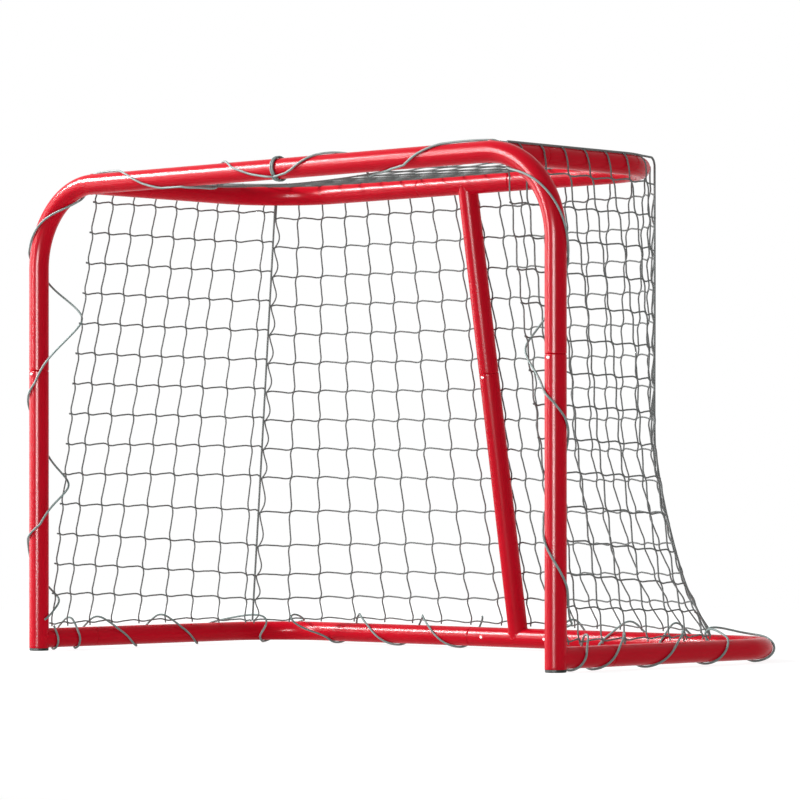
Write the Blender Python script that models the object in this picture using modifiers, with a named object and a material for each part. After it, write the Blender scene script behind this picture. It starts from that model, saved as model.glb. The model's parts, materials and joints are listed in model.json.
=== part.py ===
# Hockey goal: a bent steel tube frame that pulls apart at swaged joints, with a bag net laced to it.
# Metres. +Z is up, the mouth faces -Y, and the goal stands on the floor at Z 0.
import math

import bpy
import numpy as np
from mathutils import Matrix, Vector

# Frame: overall sizes over the tubes
WIDTH = 1.372
HEIGHT = 0.914
DEPTH = 0.686
TUBE = 0.038
WALL = 0.0016
GAP = 0.0003
TUBE_SIDES = 16

# Frame: bends and where the rails run
FRAME_BEND = 0.157
TOP_BEND = 0.157
BASE_BEND = 0.130
BEND_STEPS = 8
TOP_RAIL_SPACING = 1.030
TOP_DEPTH = 0.501
FOOT_HEIGHT = 0.005

# Frame: where it comes apart
POST_SEAM_Z = 0.541
STRUT_SEAM_Z = 0.5355
STUB_LENGTH = 0.137
TOP_TEE_LENGTH = 0.236
BASE_TEE_LENGTH = 0.240
SWAGE_LENGTH = 0.060
SWAGE_TAPER = 0.0025

# Snap buttons and their leaf springs
BUTTON = 0.0064
BUTTON_HOLE = 0.0070
BUTTON_FLANGE = 0.0084
FLANGE_THICKNESS = 0.0010
BUTTON_PROUD = 0.0026
BUTTON_FROM_SEAM = 0.0055
BASE_BUTTON_FROM_SEAM = 0.038
SPRING_WIDTH = 0.0076
SPRING_THICKNESS = 0.0008
SPRING_LENGTH = 0.030

# Foot caps
CAP_FLANGE = 0.0372
CAP_PLUG_LENGTH = 0.018
CAP_WALL = 0.0020

# Net and cords
TWINE = 0.0026
ROPE = 0.0040
LACE = 0.0040
SIDE_CELLS = 5
BACK_CELLS = 11
TOP_CELLS = 4
ROWS = 7
FRONT_SAG = 0.049
BORDER_HEIGHT = 0.009
BORDER_SETBACK = 0.023
NET_CORNER_IN = 0.062
NET_CORNER_FORWARD = 0.144
NET_SHOULDER_IN = 0.024
NET_SHOULDER_UP = 0.005
CORNER_KNEE_DROP = 0.481
RIGHT_KNEE_OUT = 0.002
RIGHT_KNEE_BACK = 0.001
LEFT_KNEE_OUT = 0.061
LEFT_KNEE_BACK = 0.015
FOOT_STRAIGHT = 0.401
FOOT_BEHIND = (0.0172, 0.0070, 0.0020, 0.0, -0.0230)
TOP_EDGE_UP = 0.0014
TOP_EDGE_OUT = 0.006
HANG_CLEAR = 0.0007
ARC_CLEAR = 0.006
BACK_CLEAR = 0.0017
BACK_ARC_CLEAR = 0.0057
EDGE_APART = 0.0006
LACE_CLEARANCE = 0.00015
LACE_CHORD = 0.00075
HITCH_X = -0.003
HITCH_HALF = 0.0105

# Places that follow from the sizes
POST_X = (WIDTH - TUBE) / 2
FRONT_Y = (TUBE - DEPTH) / 2
REAR_Y = (DEPTH - TUBE) / 2
BAR_Z = HEIGHT - TUBE / 2
BASE_Z = FOOT_HEIGHT + TUBE / 2
TOP_X = TOP_RAIL_SPACING / 2
TOP_Y = FRONT_Y + TOP_DEPTH
RADIUS = TUBE / 2
BORE = RADIUS - WALL
SWAGE_RADIUS = BORE - GAP
SWAGE_BORE = SWAGE_RADIUS - WALL
BUTTON_TRAVEL = BUTTON_PROUD + WALL + 0.0002
STRUT_FOOT = Vector((0, REAR_Y, BASE_Z))
STRUT_HEAD = Vector((0, TOP_Y, BAR_Z))
STRUT_WAY = (STRUT_HEAD - STRUT_FOOT).normalized()

for old in list(bpy.data.objects):
    bpy.data.objects.remove(old, do_unlink=True)
scene = bpy.context.scene
scene.unit_settings.system = "METRIC"
goal = bpy.data.collections.new("hockey_goal")
cutters = bpy.data.collections.new("cutters")
scene.collection.children.link(goal)
scene.collection.children.link(cutters)


def material(name, colour, metallic, roughness):
    made = bpy.data.materials.new(name)
    made.use_nodes = True
    made.diffuse_color = (*colour, 1)
    shader = made.node_tree.nodes["Principled BSDF"]
    shader.inputs["Base Color"].default_value = (*colour, 1)
    shader.inputs["Metallic"].default_value = metallic
    shader.inputs["Roughness"].default_value = roughness
    return made


PAINT = (0.52, 0.010, 0.027)
SHEEN = (0.60, 0.61, 0.62)
BLACK = (0.02, 0.03, 0.028)
CORD = (0.21, 0.24, 0.23)
MESH = (0.12, 0.13, 0.13)


def finish(item, name, look, place=None):
    item.name = name
    item.data.name = name
    item.data.materials.clear()
    item.data.materials.append(material(name, *look))
    if item.type == "MESH":
        item.data.shade_smooth()
        item.data.set_sharp_from_angle(angle=math.radians(40))
    if place is not None:
        item.matrix_world = place
    goal.objects.link(item)
    return item


def path_object(name, points, radius, resolution, scales=None, capped=True):
    curve = bpy.data.curves.new(name, "CURVE")
    curve.dimensions = "3D"
    curve.twist_mode = "MINIMUM"
    curve.bevel_depth = radius
    curve.bevel_resolution = resolution
    curve.use_fill_caps = capped
    spline = curve.splines.new("POLY")
    spline.points.add(len(points) - 1)
    for i, point in enumerate(points):
        spline.points[i].co = (*point, 1)
        spline.points[i].radius = 1 if scales is None else scales[i]
    return bpy.data.objects.new(name, curve)


def as_mesh(item):
    scene.collection.objects.link(item)
    bpy.context.view_layer.update()
    mesh = bpy.data.meshes.new_from_object(item.evaluated_get(bpy.context.evaluated_depsgraph_get()))
    bpy.data.objects.remove(item, do_unlink=True)
    return bpy.data.objects.new(mesh.name, mesh)


def cut(item, tool):
    tool.hide_render = True
    tool.display_type = "WIRE"
    cutters.objects.link(tool)
    boolean = item.modifiers.new("cut", "BOOLEAN")
    boolean.operation = "DIFFERENCE"
    boolean.solver = "EXACT"
    boolean.object = tool


def round_cutter(name, points, radius, resolution):
    tool = path_object(name, points, radius / math.cos(math.pi / (4 + 2 * resolution)), resolution)
    made = as_mesh(tool)
    made.name = name
    return made


def tube(name, points, swaged=()):
    # Swaged ends are drawn down to plug into the next tube. The plug runs on past the seam.
    points = [Vector(p) for p in points]
    scales = [1.0] * len(points)
    small = SWAGE_RADIUS / RADIUS
    if "start" in swaged:
        way = (points[0] - points[1]).normalized()
        shoulder = points[0] - way * SWAGE_TAPER
        points = [points[0] + way * SWAGE_LENGTH, points[0], shoulder] + points[1:]
        scales = [small, small, 1.0] + scales[1:]
    if "end" in swaged:
        way = (points[-1] - points[-2]).normalized()
        shoulder = points[-1] - way * SWAGE_TAPER
        points = points[:-1] + [shoulder, points[-1], points[-1] + way * SWAGE_LENGTH]
        scales = scales[:-1] + [1.0, small, small]
    made = as_mesh(path_object(name, points, RADIUS, TUBE_SIDES // 2 - 2, scales, capped=False))
    shell = made.modifiers.new("wall", "SOLIDIFY")
    shell.thickness = WALL
    shell.offset = -1
    shell.use_rim = True
    return finish(made, name, (PAINT, 0.0, 0.25))


def arc(centre, first, second, radius):
    # A quarter bend from direction first to direction second about its centre, both ends included.
    centre, first, second = Vector(centre), Vector(first), Vector(second)
    steps = [math.pi / 2 * i / BEND_STEPS for i in range(BEND_STEPS + 1)]
    return [centre + radius * (first * math.cos(a) + second * math.sin(a)) for a in steps]


# Upper frame: crossbar, both bends and the upper posts are one bent tube, swaged at both feet.
frame_left = arc((-POST_X + FRAME_BEND, FRONT_Y, BAR_Z - FRAME_BEND), (-1, 0, 0), (0, 0, 1), FRAME_BEND)
frame_right = [Vector((-p.x, p.y, p.z)) for p in reversed(frame_left)]
left_seam = Vector((-POST_X, FRONT_Y, POST_SEAM_Z))
right_seam = Vector((POST_X, FRONT_Y, POST_SEAM_Z))
upper_frame = tube("upper_frame", [left_seam, *frame_left, *frame_right, right_seam], ("start", "end"))

# Strut: two lengths that plug together, each coped onto its tee and welded.
strut_seam = STRUT_FOOT + STRUT_WAY * ((STRUT_SEAM_Z - BASE_Z) / STRUT_WAY.z)
strut_lower = tube("strut_lower", [STRUT_FOOT, strut_seam - STRUT_WAY * GAP])
strut_upper = tube("strut_upper", [strut_seam, STRUT_HEAD], ("start",))
reach = Vector((2 * TUBE, 0, 0))
cut(strut_lower, round_cutter("cope_strut_foot", [STRUT_FOOT - reach, STRUT_FOOT + reach], RADIUS + GAP, 10))
cut(strut_upper, round_cutter("cope_strut_head", [STRUT_HEAD - reach, STRUT_HEAD + reach], RADIUS + GAP, 10))

# Tees: the middle length of each rear rail, which the swaged rail ends plug into.
top_half = Vector((TOP_TEE_LENGTH / 2 - GAP, 0, 0))
base_half = Vector((BASE_TEE_LENGTH / 2 - GAP, 0, 0))
top_tee = tube("top_tee", [STRUT_HEAD - top_half, STRUT_HEAD + top_half])
base_tee = tube("base_tee", [STRUT_FOOT - base_half, STRUT_FOOT + base_half])

posts, rails = {}, {}
for side, word in ((-1, "left"), (1, "right")):
    # Lower post: a plain tube down to the foot cap, its top edge just under the seam.
    foot = Vector((side * POST_X, FRONT_Y, FOOT_HEIGHT))
    seam = Vector((side * POST_X, FRONT_Y, POST_SEAM_Z))
    posts[side] = tube(f"lower_post_{word}", [foot, seam - Vector((0, 0, GAP))])

    # Base stub: coped onto the back of the post and welded, open at the back for the base rail.
    stub_end = Vector((side * POST_X, FRONT_Y + STUB_LENGTH, BASE_Z))
    stub = tube(f"base_stub_{word}", [(side * POST_X, FRONT_Y, BASE_Z), stub_end - Vector((0, GAP, 0))])
    rise = Vector((0, 0, 2 * TUBE))
    axis = Vector((side * POST_X, FRONT_Y, BASE_Z))
    cut(stub, round_cutter(f"cope_base_{word}", [axis - rise, axis + rise], RADIUS + GAP, 10))

    # Base rail: straight back, round the corner and in to the base tee, swaged at both ends.
    corner = arc((side * (POST_X - BASE_BEND), REAR_Y - BASE_BEND, BASE_Z), (side, 0, 0), (0, 1, 0), BASE_BEND)
    tee_end = Vector((side * BASE_TEE_LENGTH / 2, REAR_Y, BASE_Z))
    rails["base", side] = [stub_end, *corner, tee_end]
    tube(f"base_rail_{word}", rails["base", side], ("start", "end"))

    # Top stub: coped onto the back of the crossbar and welded.
    stub_end = Vector((side * TOP_X, FRONT_Y + STUB_LENGTH, BAR_Z))
    stub = tube(f"top_stub_{word}", [(side * TOP_X, FRONT_Y, BAR_Z), stub_end - Vector((0, GAP, 0))])
    bar = (frame_right if side > 0 else list(reversed(frame_left)))[:5]
    bar.insert(0, bar[0] - Vector((side * 2 * TUBE, 0, 0)))
    cut(stub, round_cutter(f"cope_top_{word}", bar, RADIUS + GAP, 10))

    # Top rail: back from the stub, round the corner and in to the top tee, swaged at both ends.
    corner = arc((side * (TOP_X - TOP_BEND), TOP_Y - TOP_BEND, BAR_Z), (side, 0, 0), (0, 1, 0), TOP_BEND)
    tee_end = Vector((side * TOP_TEE_LENGTH / 2, TOP_Y, BAR_Z))
    rails["top", side] = [stub_end, *corner, tee_end]
    tube(f"top_rail_{word}", rails["top", side], ("start", "end"))

    # Foot cap: a moulded cap whose plug fits the bore and whose rim the post stands on.
    plug = BORE - GAP
    rim = CAP_FLANGE / 2
    top = FOOT_HEIGHT + CAP_PLUG_LENGTH
    profile = [
        (plug - CAP_WALL, FOOT_HEIGHT),
        (plug - CAP_WALL, top),
        (plug - 0.0006, top),
        (plug, top - 0.002),
        (plug, FOOT_HEIGHT - GAP),
        (rim, FOOT_HEIGHT - GAP),
        (rim, 0.0012),
        (rim - 0.0012, 0),
        (0, 0),
    ]
    profile.insert(0, (0, FOOT_HEIGHT))
    mesh = bpy.data.meshes.new(f"foot_cap_{word}")
    mesh.from_pydata([(r, 0, z) for r, z in profile], [(i, i + 1) for i in range(len(profile) - 1)], [])
    cap = bpy.data.objects.new(mesh.name, mesh)
    turn = cap.modifiers.new("turn", "SCREW")
    turn.steps = turn.render_steps = 16
    turn.use_merge_vertices = True
    turn.merge_threshold = 0.00001
    finish(cap, mesh.name, (BLACK, 0.0, 0.55), Matrix.Translation((side * POST_X, FRONT_Y, 0)))


def snap_button(name, centre, along, outward, outer, inner):
    # A domed pin on a leaf spring: it stands in matching holes of the outer tube and of the plug inside it.
    along, outward = Vector(along).normalized(), Vector(outward).normalized()
    across = along.cross(outward)
    place = Matrix.Identity(4)
    for column, way in enumerate((across, along, outward)):
        place.col[column][:3] = way
    place.translation = centre
    for tool_name, item in (("hole", outer), ("inner_hole", inner)):
        start = Vector(centre) + outward * SWAGE_BORE / 2
        end = Vector(centre) + outward * 2 * RADIUS
        cut(item, round_cutter(f"{name}_{tool_name}", [start, end], BUTTON_HOLE / 2, 4))
    tip = RADIUS + BUTTON_PROUD
    pin, flange = BUTTON / 2, BUTTON_FLANGE / 2
    seat = math.sqrt((SWAGE_BORE * math.cos(math.pi / TUBE_SIDES)) ** 2 - flange**2) - GAP
    profile = [
        (0, tip),
        (pin * 0.5, tip - pin * 0.12),
        (pin * 0.86, tip - pin * 0.42),
        (pin, tip - pin * 0.75),
        (pin, seat),
        (flange, seat),
        (flange, seat - FLANGE_THICKNESS),
        (0, seat - FLANGE_THICKNESS),
    ]
    mesh = bpy.data.meshes.new(name)
    mesh.from_pydata([(r, 0, z) for r, z in profile], [(i, i + 1) for i in range(len(profile) - 1)], [])
    pin_object = bpy.data.objects.new(name, mesh)
    turn = pin_object.modifiers.new("turn", "SCREW")
    turn.steps = turn.render_steps = 12
    turn.use_merge_vertices = True
    turn.merge_threshold = 0.00001
    finish(pin_object, name, (SHEEN, 1.0, 0.2), place)

    # Leaf spring: a strip bent to a V, one leg behind the button and the other on the far wall.
    near = seat - FLANGE_THICKNESS - GAP
    half = SPRING_WIDTH / 2
    far = -(math.sqrt((SWAGE_BORE * math.cos(math.pi / TUBE_SIDES)) ** 2 - half**2) - GAP)
    leg = SPRING_LENGTH - SPRING_THICKNESS * 2
    outside = [(-flange, near), (flange, near), (SPRING_LENGTH, SPRING_THICKNESS * 1.5)]
    outside += [(SPRING_LENGTH, -SPRING_THICKNESS * 1.5), (flange, far), (-flange, far)]
    inside = [(-flange, far + SPRING_THICKNESS), (flange - SPRING_THICKNESS, far + SPRING_THICKNESS)]
    inside += [(leg, 0), (flange - SPRING_THICKNESS, near - SPRING_THICKNESS), (-flange, near - SPRING_THICKNESS)]
    curve = bpy.data.curves.new(f"{name}_spring", "CURVE")
    curve.dimensions = "2D"
    curve.fill_mode = "BOTH"
    curve.extrude = half
    spline = curve.splines.new("POLY")
    outline = outside + inside
    spline.points.add(len(outline) - 1)
    for i, (a, h) in enumerate(outline):
        spline.points[i].co = (a, h, 0, 1)
    spline.use_cyclic_u = True
    strip = as_mesh(bpy.data.objects.new(f"{name}_spring", curve))
    turned = Matrix.Identity(4)
    for column, way in enumerate((along, outward, along.cross(outward))):
        turned.col[column][:3] = way
    turned.translation = centre
    finish(strip, f"{name}_spring", (SHEEN, 1.0, 0.35), turned)


down = Vector((0, 0, -1))
front = Vector((0, -1, 0))
for side, word in ((-1, "left"), (1, "right")):
    # Post and base buttons face the front, as the strut's does.
    spot = (side * POST_X, FRONT_Y, POST_SEAM_Z - BUTTON_FROM_SEAM)
    snap_button(f"post_button_{word}", spot, down, front, posts[side], upper_frame)
    spot = (side * (BASE_TEE_LENGTH / 2 - BASE_BUTTON_FROM_SEAM), REAR_Y, BASE_Z)
    base_rail = bpy.data.objects[f"base_rail_{word}"]
    snap_button(f"base_button_{word}", spot, (side, 0, 0), front, base_tee, base_rail)
strut_front = Vector((0, -STRUT_WAY.z, STRUT_WAY.y))
spot = strut_seam - STRUT_WAY * BUTTON_FROM_SEAM
snap_button("strut_button", spot, -STRUT_WAY, strut_front, strut_lower, strut_upper)


# Net: knotted twine panels. Each is a lattice whose strands share their knots.
def lattice(name, grid):
    across, down_count = len(grid), len(grid[0])
    half = TWINE / 2

    def knot(i, j):
        return grid[min(max(i, 0), across - 1)][min(max(j, 0), down_count - 1)]

    vertices, faces, index = [], [], {}
    for i in range(across):
        for j in range(down_count):
            along = (knot(i + 1, j) - knot(i - 1, j)).normalized()
            fall = (knot(i, j + 1) - knot(i, j - 1)).normalized()
            normal = along.cross(fall).normalized()
            index[i, j, "out"] = len(vertices)
            vertices.append(grid[i][j] + normal * half)
            index[i, j, "in"] = len(vertices)
            vertices.append(grid[i][j] - normal * half)
            for a, b in ((1, 1), (-1, 1), (-1, -1), (1, -1)):
                index[i, j, a, b] = len(vertices)
                vertices.append(grid[i][j] + (along * a + fall * b) * half)
    for i in range(across):
        for j in range(down_count):
            out, inner = index[i, j, "out"], index[i, j, "in"]
            corner = {k: index[i, j, *k] for k in ((1, 1), (-1, 1), (-1, -1), (1, -1))}
            if i + 1 < across:
                out2, inner2 = index[i + 1, j, "out"], index[i + 1, j, "in"]
                for b in (1, -1):
                    near, far = corner[1, b], index[i + 1, j, -1, b]
                    faces.append((out, out2, far, near) if b > 0 else (out, near, far, out2))
                    faces.append((inner, near, far, inner2) if b > 0 else (inner, inner2, far, near))
            else:
                faces.append((out, corner[1, -1], corner[1, 1]))
                faces.append((inner, corner[1, 1], corner[1, -1]))
            if i == 0:
                faces.append((out, corner[-1, 1], corner[-1, -1]))
                faces.append((inner, corner[-1, -1], corner[-1, 1]))
            if j + 1 < down_count:
                out2, inner2 = index[i, j + 1, "out"], index[i, j + 1, "in"]
                for a in (1, -1):
                    near, far = corner[a, 1], index[i, j + 1, a, -1]
                    faces.append((out, near, far, out2) if a > 0 else (out, out2, far, near))
                    faces.append((inner, inner2, far, near) if a > 0 else (inner, near, far, inner2))
            else:
                faces.append((out, corner[1, 1], corner[-1, 1]))
                faces.append((inner, corner[-1, 1], corner[1, 1]))
            if j == 0:
                faces.append((out, corner[-1, -1], corner[1, -1]))
                faces.append((inner, corner[1, -1], corner[-1, -1]))
    mesh = bpy.data.meshes.new(name)
    mesh.from_pydata(vertices, [], faces)
    return finish(bpy.data.objects.new(name, mesh), name, (MESH, 0.0, 0.8))


def along_line(points, fraction):
    # A point at a fraction of the length of a line through the points.
    points = [Vector(p) for p in points]
    lengths = [(b - a).length for a, b in zip(points, points[1:])]
    left = fraction * sum(lengths)
    for a, b, length in zip(points, points[1:], lengths):
        if left <= length + 1e-9:
            return a.lerp(b, left / length)
        left -= length
    return points[-1]


def patch(first, last, top, bottom):
    # A surface blended between four edges, given as lists of points that meet at the corners.
    nu, nv = len(top) - 1, len(first) - 1
    grid = []
    for i in range(nu + 1):
        u = i / nu
        column = []
        for j in range(nv + 1):
            v = j / nv
            ruled = first[j].lerp(last[j], u) + top[i].lerp(bottom[i], v)
            column.append(ruled - top[0].lerp(top[-1], u).lerp(bottom[0].lerp(bottom[-1], u), v))
        grid.append(column)
    return grid


HALF = TWINE / 2
TOP_EDGE_Z = BAR_Z + RADIUS + HALF + GAP + TOP_EDGE_UP
HANG = RADIUS + HALF + HANG_CLEAR
NET_Z = BASE_Z + RADIUS + BORDER_HEIGHT
CORNER_TOP = Vector((TOP_X - NET_SHOULDER_IN, TOP_Y - NET_SHOULDER_IN, BAR_Z + NET_SHOULDER_UP))
CORNER_FOOT = Vector((POST_X - NET_CORNER_IN, REAR_Y - NET_CORNER_FORWARD, NET_Z - 0.004))
MIDWAY = {
    1: Vector((RIGHT_KNEE_OUT, RIGHT_KNEE_BACK, -CORNER_KNEE_DROP)),
    -1: Vector((LEFT_KNEE_OUT, LEFT_KNEE_BACK, -CORNER_KNEE_DROP)),
}
FRONT_TOP = Vector((TOP_X + HANG, FRONT_Y + BORDER_SETBACK, BAR_Z + 0.003))
FRONT_FOOT = Vector((POST_X, FRONT_Y + BORDER_SETBACK + 0.010, NET_Z))
rope_apart = (ROPE + TWINE) / 2 + EDGE_APART


def mirrored(points, side):
    return [Vector((side * p.x, p.y, p.z)) for p in points]


corner_line, side_front, side_foot, back_edge = {}, {}, {}, {}
for side, word in ((-1, "left"), (1, "right")):
    # Corner line: from the top corner, off the rounded rail, down to the net's foot inside the base bend.
    corner_line[side] = [CORNER_TOP, CORNER_TOP + MIDWAY[side], CORNER_FOOT]
    nudge = Vector((0.0028, -0.0032, 0)) * (rope_apart / 0.0039)
    edge = [along_line(corner_line[side], j / ROWS) + nudge for j in range(ROWS + 1)]
    straight = TOP_Y - TOP_BEND - FRONT_TOP.y
    round_top = [FRONT_TOP, FRONT_TOP + Vector((0, straight, 0))]
    centre = Vector((TOP_X - TOP_BEND, TOP_Y - TOP_BEND, FRONT_TOP.z))
    for turn in (12, 24):
        a = math.radians(turn)
        round_top.append(centre + (TOP_BEND + HANG + ARC_CLEAR) * Vector((math.cos(a), math.sin(a), 0)))
    round_top.append(edge[0])
    top = [along_line(round_top, i / SIDE_CELLS) for i in range(SIDE_CELLS + 1)]
    turn_y = FRONT_Y + FOOT_STRAIGHT
    foot = [FRONT_FOOT.lerp(Vector((POST_X, turn_y, NET_Z)), i / (SIDE_CELLS - 1)) for i in range(SIDE_CELLS)]
    foot.append(edge[-1])
    opening = [FRONT_TOP.lerp(FRONT_FOOT, j / ROWS) for j in range(ROWS + 1)]
    side_front[side] = mirrored(opening, side)
    side_foot[side] = mirrored(foot, side)
    grid = patch(opening, edge, top, foot)
    lattice(f"side_net_{word}", [mirrored(column, side) for column in grid])
    nudge = Vector((-0.0032, 0.0028, 0)) * (rope_apart / 0.0039)
    back_edge[side] = mirrored([along_line(corner_line[side], j / ROWS) + nudge for j in range(ROWS + 1)], side)

# Back net: over the back of the rear rail, down behind the strut and along above the base rail.
radius = TOP_BEND + RADIUS + HALF + BACK_ARC_CLEAR
centre = Vector((TOP_X - TOP_BEND, TOP_Y - TOP_BEND, back_edge[1][0].z))
bend_point = centre + radius * Vector((math.sin(math.radians(16)), math.cos(math.radians(16)), 0))
rail_back = TOP_Y + RADIUS + HALF + BACK_CLEAR
knots = BACK_CELLS // 2
top_step = bend_point.x / (knots - 0.5)
half_top = [Vector((top_step * (k + 0.5), rail_back, back_edge[1][0].z)) for k in range(knots - 1)]
half_top += [bend_point, back_edge[1][0]]
top_line = mirrored(reversed(half_top), -1)[:] + half_top
top_line[0] = back_edge[-1][0]
strut_back = RADIUS / STRUT_WAY.z + HALF + HANG_CLEAR
foot_step = back_edge[1][-1].x / (knots + 0.5)
half_foot = [Vector((foot_step * (k + 0.5), REAR_Y + FOOT_BEHIND[k], NET_Z)) for k in range(knots)]
half_foot.append(back_edge[1][-1])
foot_line = mirrored(reversed(half_foot), -1)[:] + half_foot
foot_line[0] = back_edge[-1][-1]
back_grid = patch(back_edge[-1], back_edge[1], top_line, foot_line)
for column in back_grid[knots : knots + 2]:
    for knot_point in column:
        strut_y = STRUT_HEAD.y + (STRUT_HEAD.z - knot_point.z) * -STRUT_WAY.y / STRUT_WAY.z
        knot_point.y = max(knot_point.y, strut_y + strut_back)
lattice("back_net", back_grid)

# Top net: over the side and rear rails, its front edge hanging behind the crossbar.
edge_x = TOP_X + TOP_EDGE_OUT
edge_bend = TOP_BEND + TOP_EDGE_OUT
centre = Vector((TOP_X - TOP_BEND, TOP_Y - TOP_BEND, TOP_EDGE_Z))
front_y = FRONT_Y + BORDER_SETBACK
diagonal = centre + edge_bend * Vector((math.sqrt(0.5), math.sqrt(0.5), 0))
quarter = centre + edge_bend * Vector((math.cos(math.radians(22)), math.sin(math.radians(22)), 0))
side_line = [Vector((edge_x, front_y, TOP_EDGE_Z)), centre + Vector((edge_bend, 0, 0)), quarter, diagonal]
side_top = [along_line(side_line, j / TOP_CELLS) for j in range(TOP_CELLS + 1)]
rear_y = TOP_Y + TOP_EDGE_OUT
rear_corner = centre + edge_bend * Vector((math.sin(math.radians(22)), math.cos(math.radians(22)), 0))
rear_line = [Vector((0, rear_y, TOP_EDGE_Z)), centre + Vector((0, edge_bend, 0)), rear_corner, diagonal]
rear_half = [along_line(rear_line, (k + 0.5) / (knots + 0.5)) for k in range(knots + 1)]
front_half = []
for k in range(knots + 1):
    x = edge_x * (k + 0.5) / (knots + 0.5)
    front_half.append(Vector((x, front_y, TOP_EDGE_Z - FRONT_SAG * (1 - (x / edge_x) ** 2))))
front_line = mirrored(reversed(front_half), -1) + front_half
rear_full = mirrored(reversed(rear_half), -1) + rear_half
top_grid = patch(mirrored(side_top, -1), side_top, front_line, rear_full)
lattice("top_net", top_grid)


# Ropes sewn along the net: one over each side rail and down the corner, one along the rear rail.
def smooth(points, steps):
    points = [Vector(p) for p in points]
    path = []
    ends = [points[0] * 2 - points[1], *points, points[-1] * 2 - points[-2]]
    for a, b, c, d in zip(ends, ends[1:], ends[2:], ends[3:]):
        for i in range(steps):
            t = i / steps
            path.append(0.5 * ((2 * b) + (c - a) * t + (2 * a - 5 * b + 4 * c - d) * t**2
                               + (3 * b - a - 3 * c + d) * t**3))
    return path + [points[-1]]


rope_reach = RADIUS + ROPE / 2 + GAP
rope_up = math.radians(66)
rope_out = rope_reach * math.cos(rope_up)
rope_z = BAR_Z + rope_reach * math.sin(rope_up)
for side, word in ((-1, "left"), (1, "right")):
    straight_end = TOP_Y - TOP_BEND
    centre = Vector((TOP_X - TOP_BEND, TOP_Y - TOP_BEND, rope_z))
    early = centre + (TOP_BEND + rope_out + 0.004) * Vector((math.cos(0.30), math.sin(0.30), 0))
    over = [
        Vector((TOP_X + rope_out, FRONT_Y + 0.036, rope_z)),
        Vector((TOP_X + rope_out, FRONT_Y + STUB_LENGTH, rope_z)),
        Vector((TOP_X + rope_out, straight_end, rope_z)),
        early,
        Vector((CORNER_TOP.x + 0.006, CORNER_TOP.y - 0.009, rope_z - 0.001)),
    ]
    fold = [Vector((CORNER_TOP.x + 0.001, CORNER_TOP.y - 0.0015, rope_z - 0.005))]
    fold.append(Vector((CORNER_TOP.x, CORNER_TOP.y, CORNER_TOP.z - 0.004)))
    drop_line = [along_line(corner_line[side], j / ROWS) for j in (0.3, *range(1, ROWS + 1))]
    line = smooth(over, 2)[:-1] + [over[-1]] + fold + drop_line
    finish(path_object(f"corner_rope_{word}", mirrored(line, side), ROPE / 2, 1), f"corner_rope_{word}",
           (CORD, 0.0, 0.7))

centre = Vector((TOP_X - TOP_BEND, TOP_Y - TOP_BEND, rope_z))
rear_rope = [Vector((0, TOP_Y + rope_out, rope_z))]
for turn in (0, 12, 24, 34):
    a = math.radians(turn)
    rear_rope.append(centre + (TOP_BEND + rope_out) * Vector((math.sin(a), math.cos(a), 0)))
rear_rope = mirrored(reversed(rear_rope[1:]), -1) + rear_rope
finish(path_object("rear_rope", rear_rope, ROPE / 2, 1), "rear_rope", (CORD, 0.0, 0.7))


# Lacing: a cord led round a tube and over the net's edge, turn after turn.
class Run:
    # A tube's centre line with, at each distance along it, the ways outward and across for winding.
    def __init__(self, line, outward, across, border):
        self.line = [Vector(p) for p in line]
        self.outward = [Vector(o) for o in outward]
        self.across = Vector(across)
        self.border = [Vector(p) for p in border]
        self.at = [0.0]
        for a, b in zip(self.line, self.line[1:]):
            self.at.append(self.at[-1] + (b - a).length)

    def place(self, s):
        s = min(max(s, 0.0), self.at[-1])
        k = max(i for i in range(len(self.at) - 1) if self.at[i] <= s + 1e-9)
        t = (s - self.at[k]) / (self.at[k + 1] - self.at[k])
        out = self.outward[k].lerp(self.outward[k + 1], t).normalized()
        return self.line[k].lerp(self.line[k + 1], t), out

    def edge(self, s):
        # Where the net's edge passes the tube at this distance, as outward and across offsets.
        centre, out = self.place(s)
        way = out.cross(self.across)
        best, square = None, 1.0
        for a, b in zip(self.border, self.border[1:]):
            da, db = (a - centre).dot(way), (b - centre).dot(way)
            if da * db > 0 or da == db:
                continue
            hit = a.lerp(b, da / (da - db)) - centre
            if best is None or hit.length < best.length:
                best, square = hit, abs((b - a).normalized().dot(way))
        if best is None:
            ends = sorted((self.border[0], self.border[-1]), key=lambda p: (p - centre).length)
            best = ends[0] - centre
        return best.dot(out), best.dot(self.across), max(square, 0.4)


def belt(angle, edge, big, small):
    # Distance from the tube's axis to a belt drawn round the tube and the net's edge strand.
    small = small / edge[2]
    span = math.hypot(*edge[:2])
    lean = math.atan2(edge[1], edge[0])
    off = (angle - lean + math.pi) % (2 * math.pi) - math.pi
    if span + small <= big:
        return big
    tangent = math.acos(min(1.0, (big - small) / span))
    if abs(off) >= tangent:
        return big
    straight = big / math.cos(tangent - abs(off))
    rest = small**2 - (span * math.sin(off)) ** 2
    if rest < 0:
        return straight
    return min(straight, span * math.cos(off) + math.sqrt(rest))


BIG = RADIUS + LACE / 2 + LACE_CLEARANCE + LACE_CHORD
SMALL = HALF + LACE / 2 + LACE_CLEARANCE + LACE_CHORD


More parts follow.
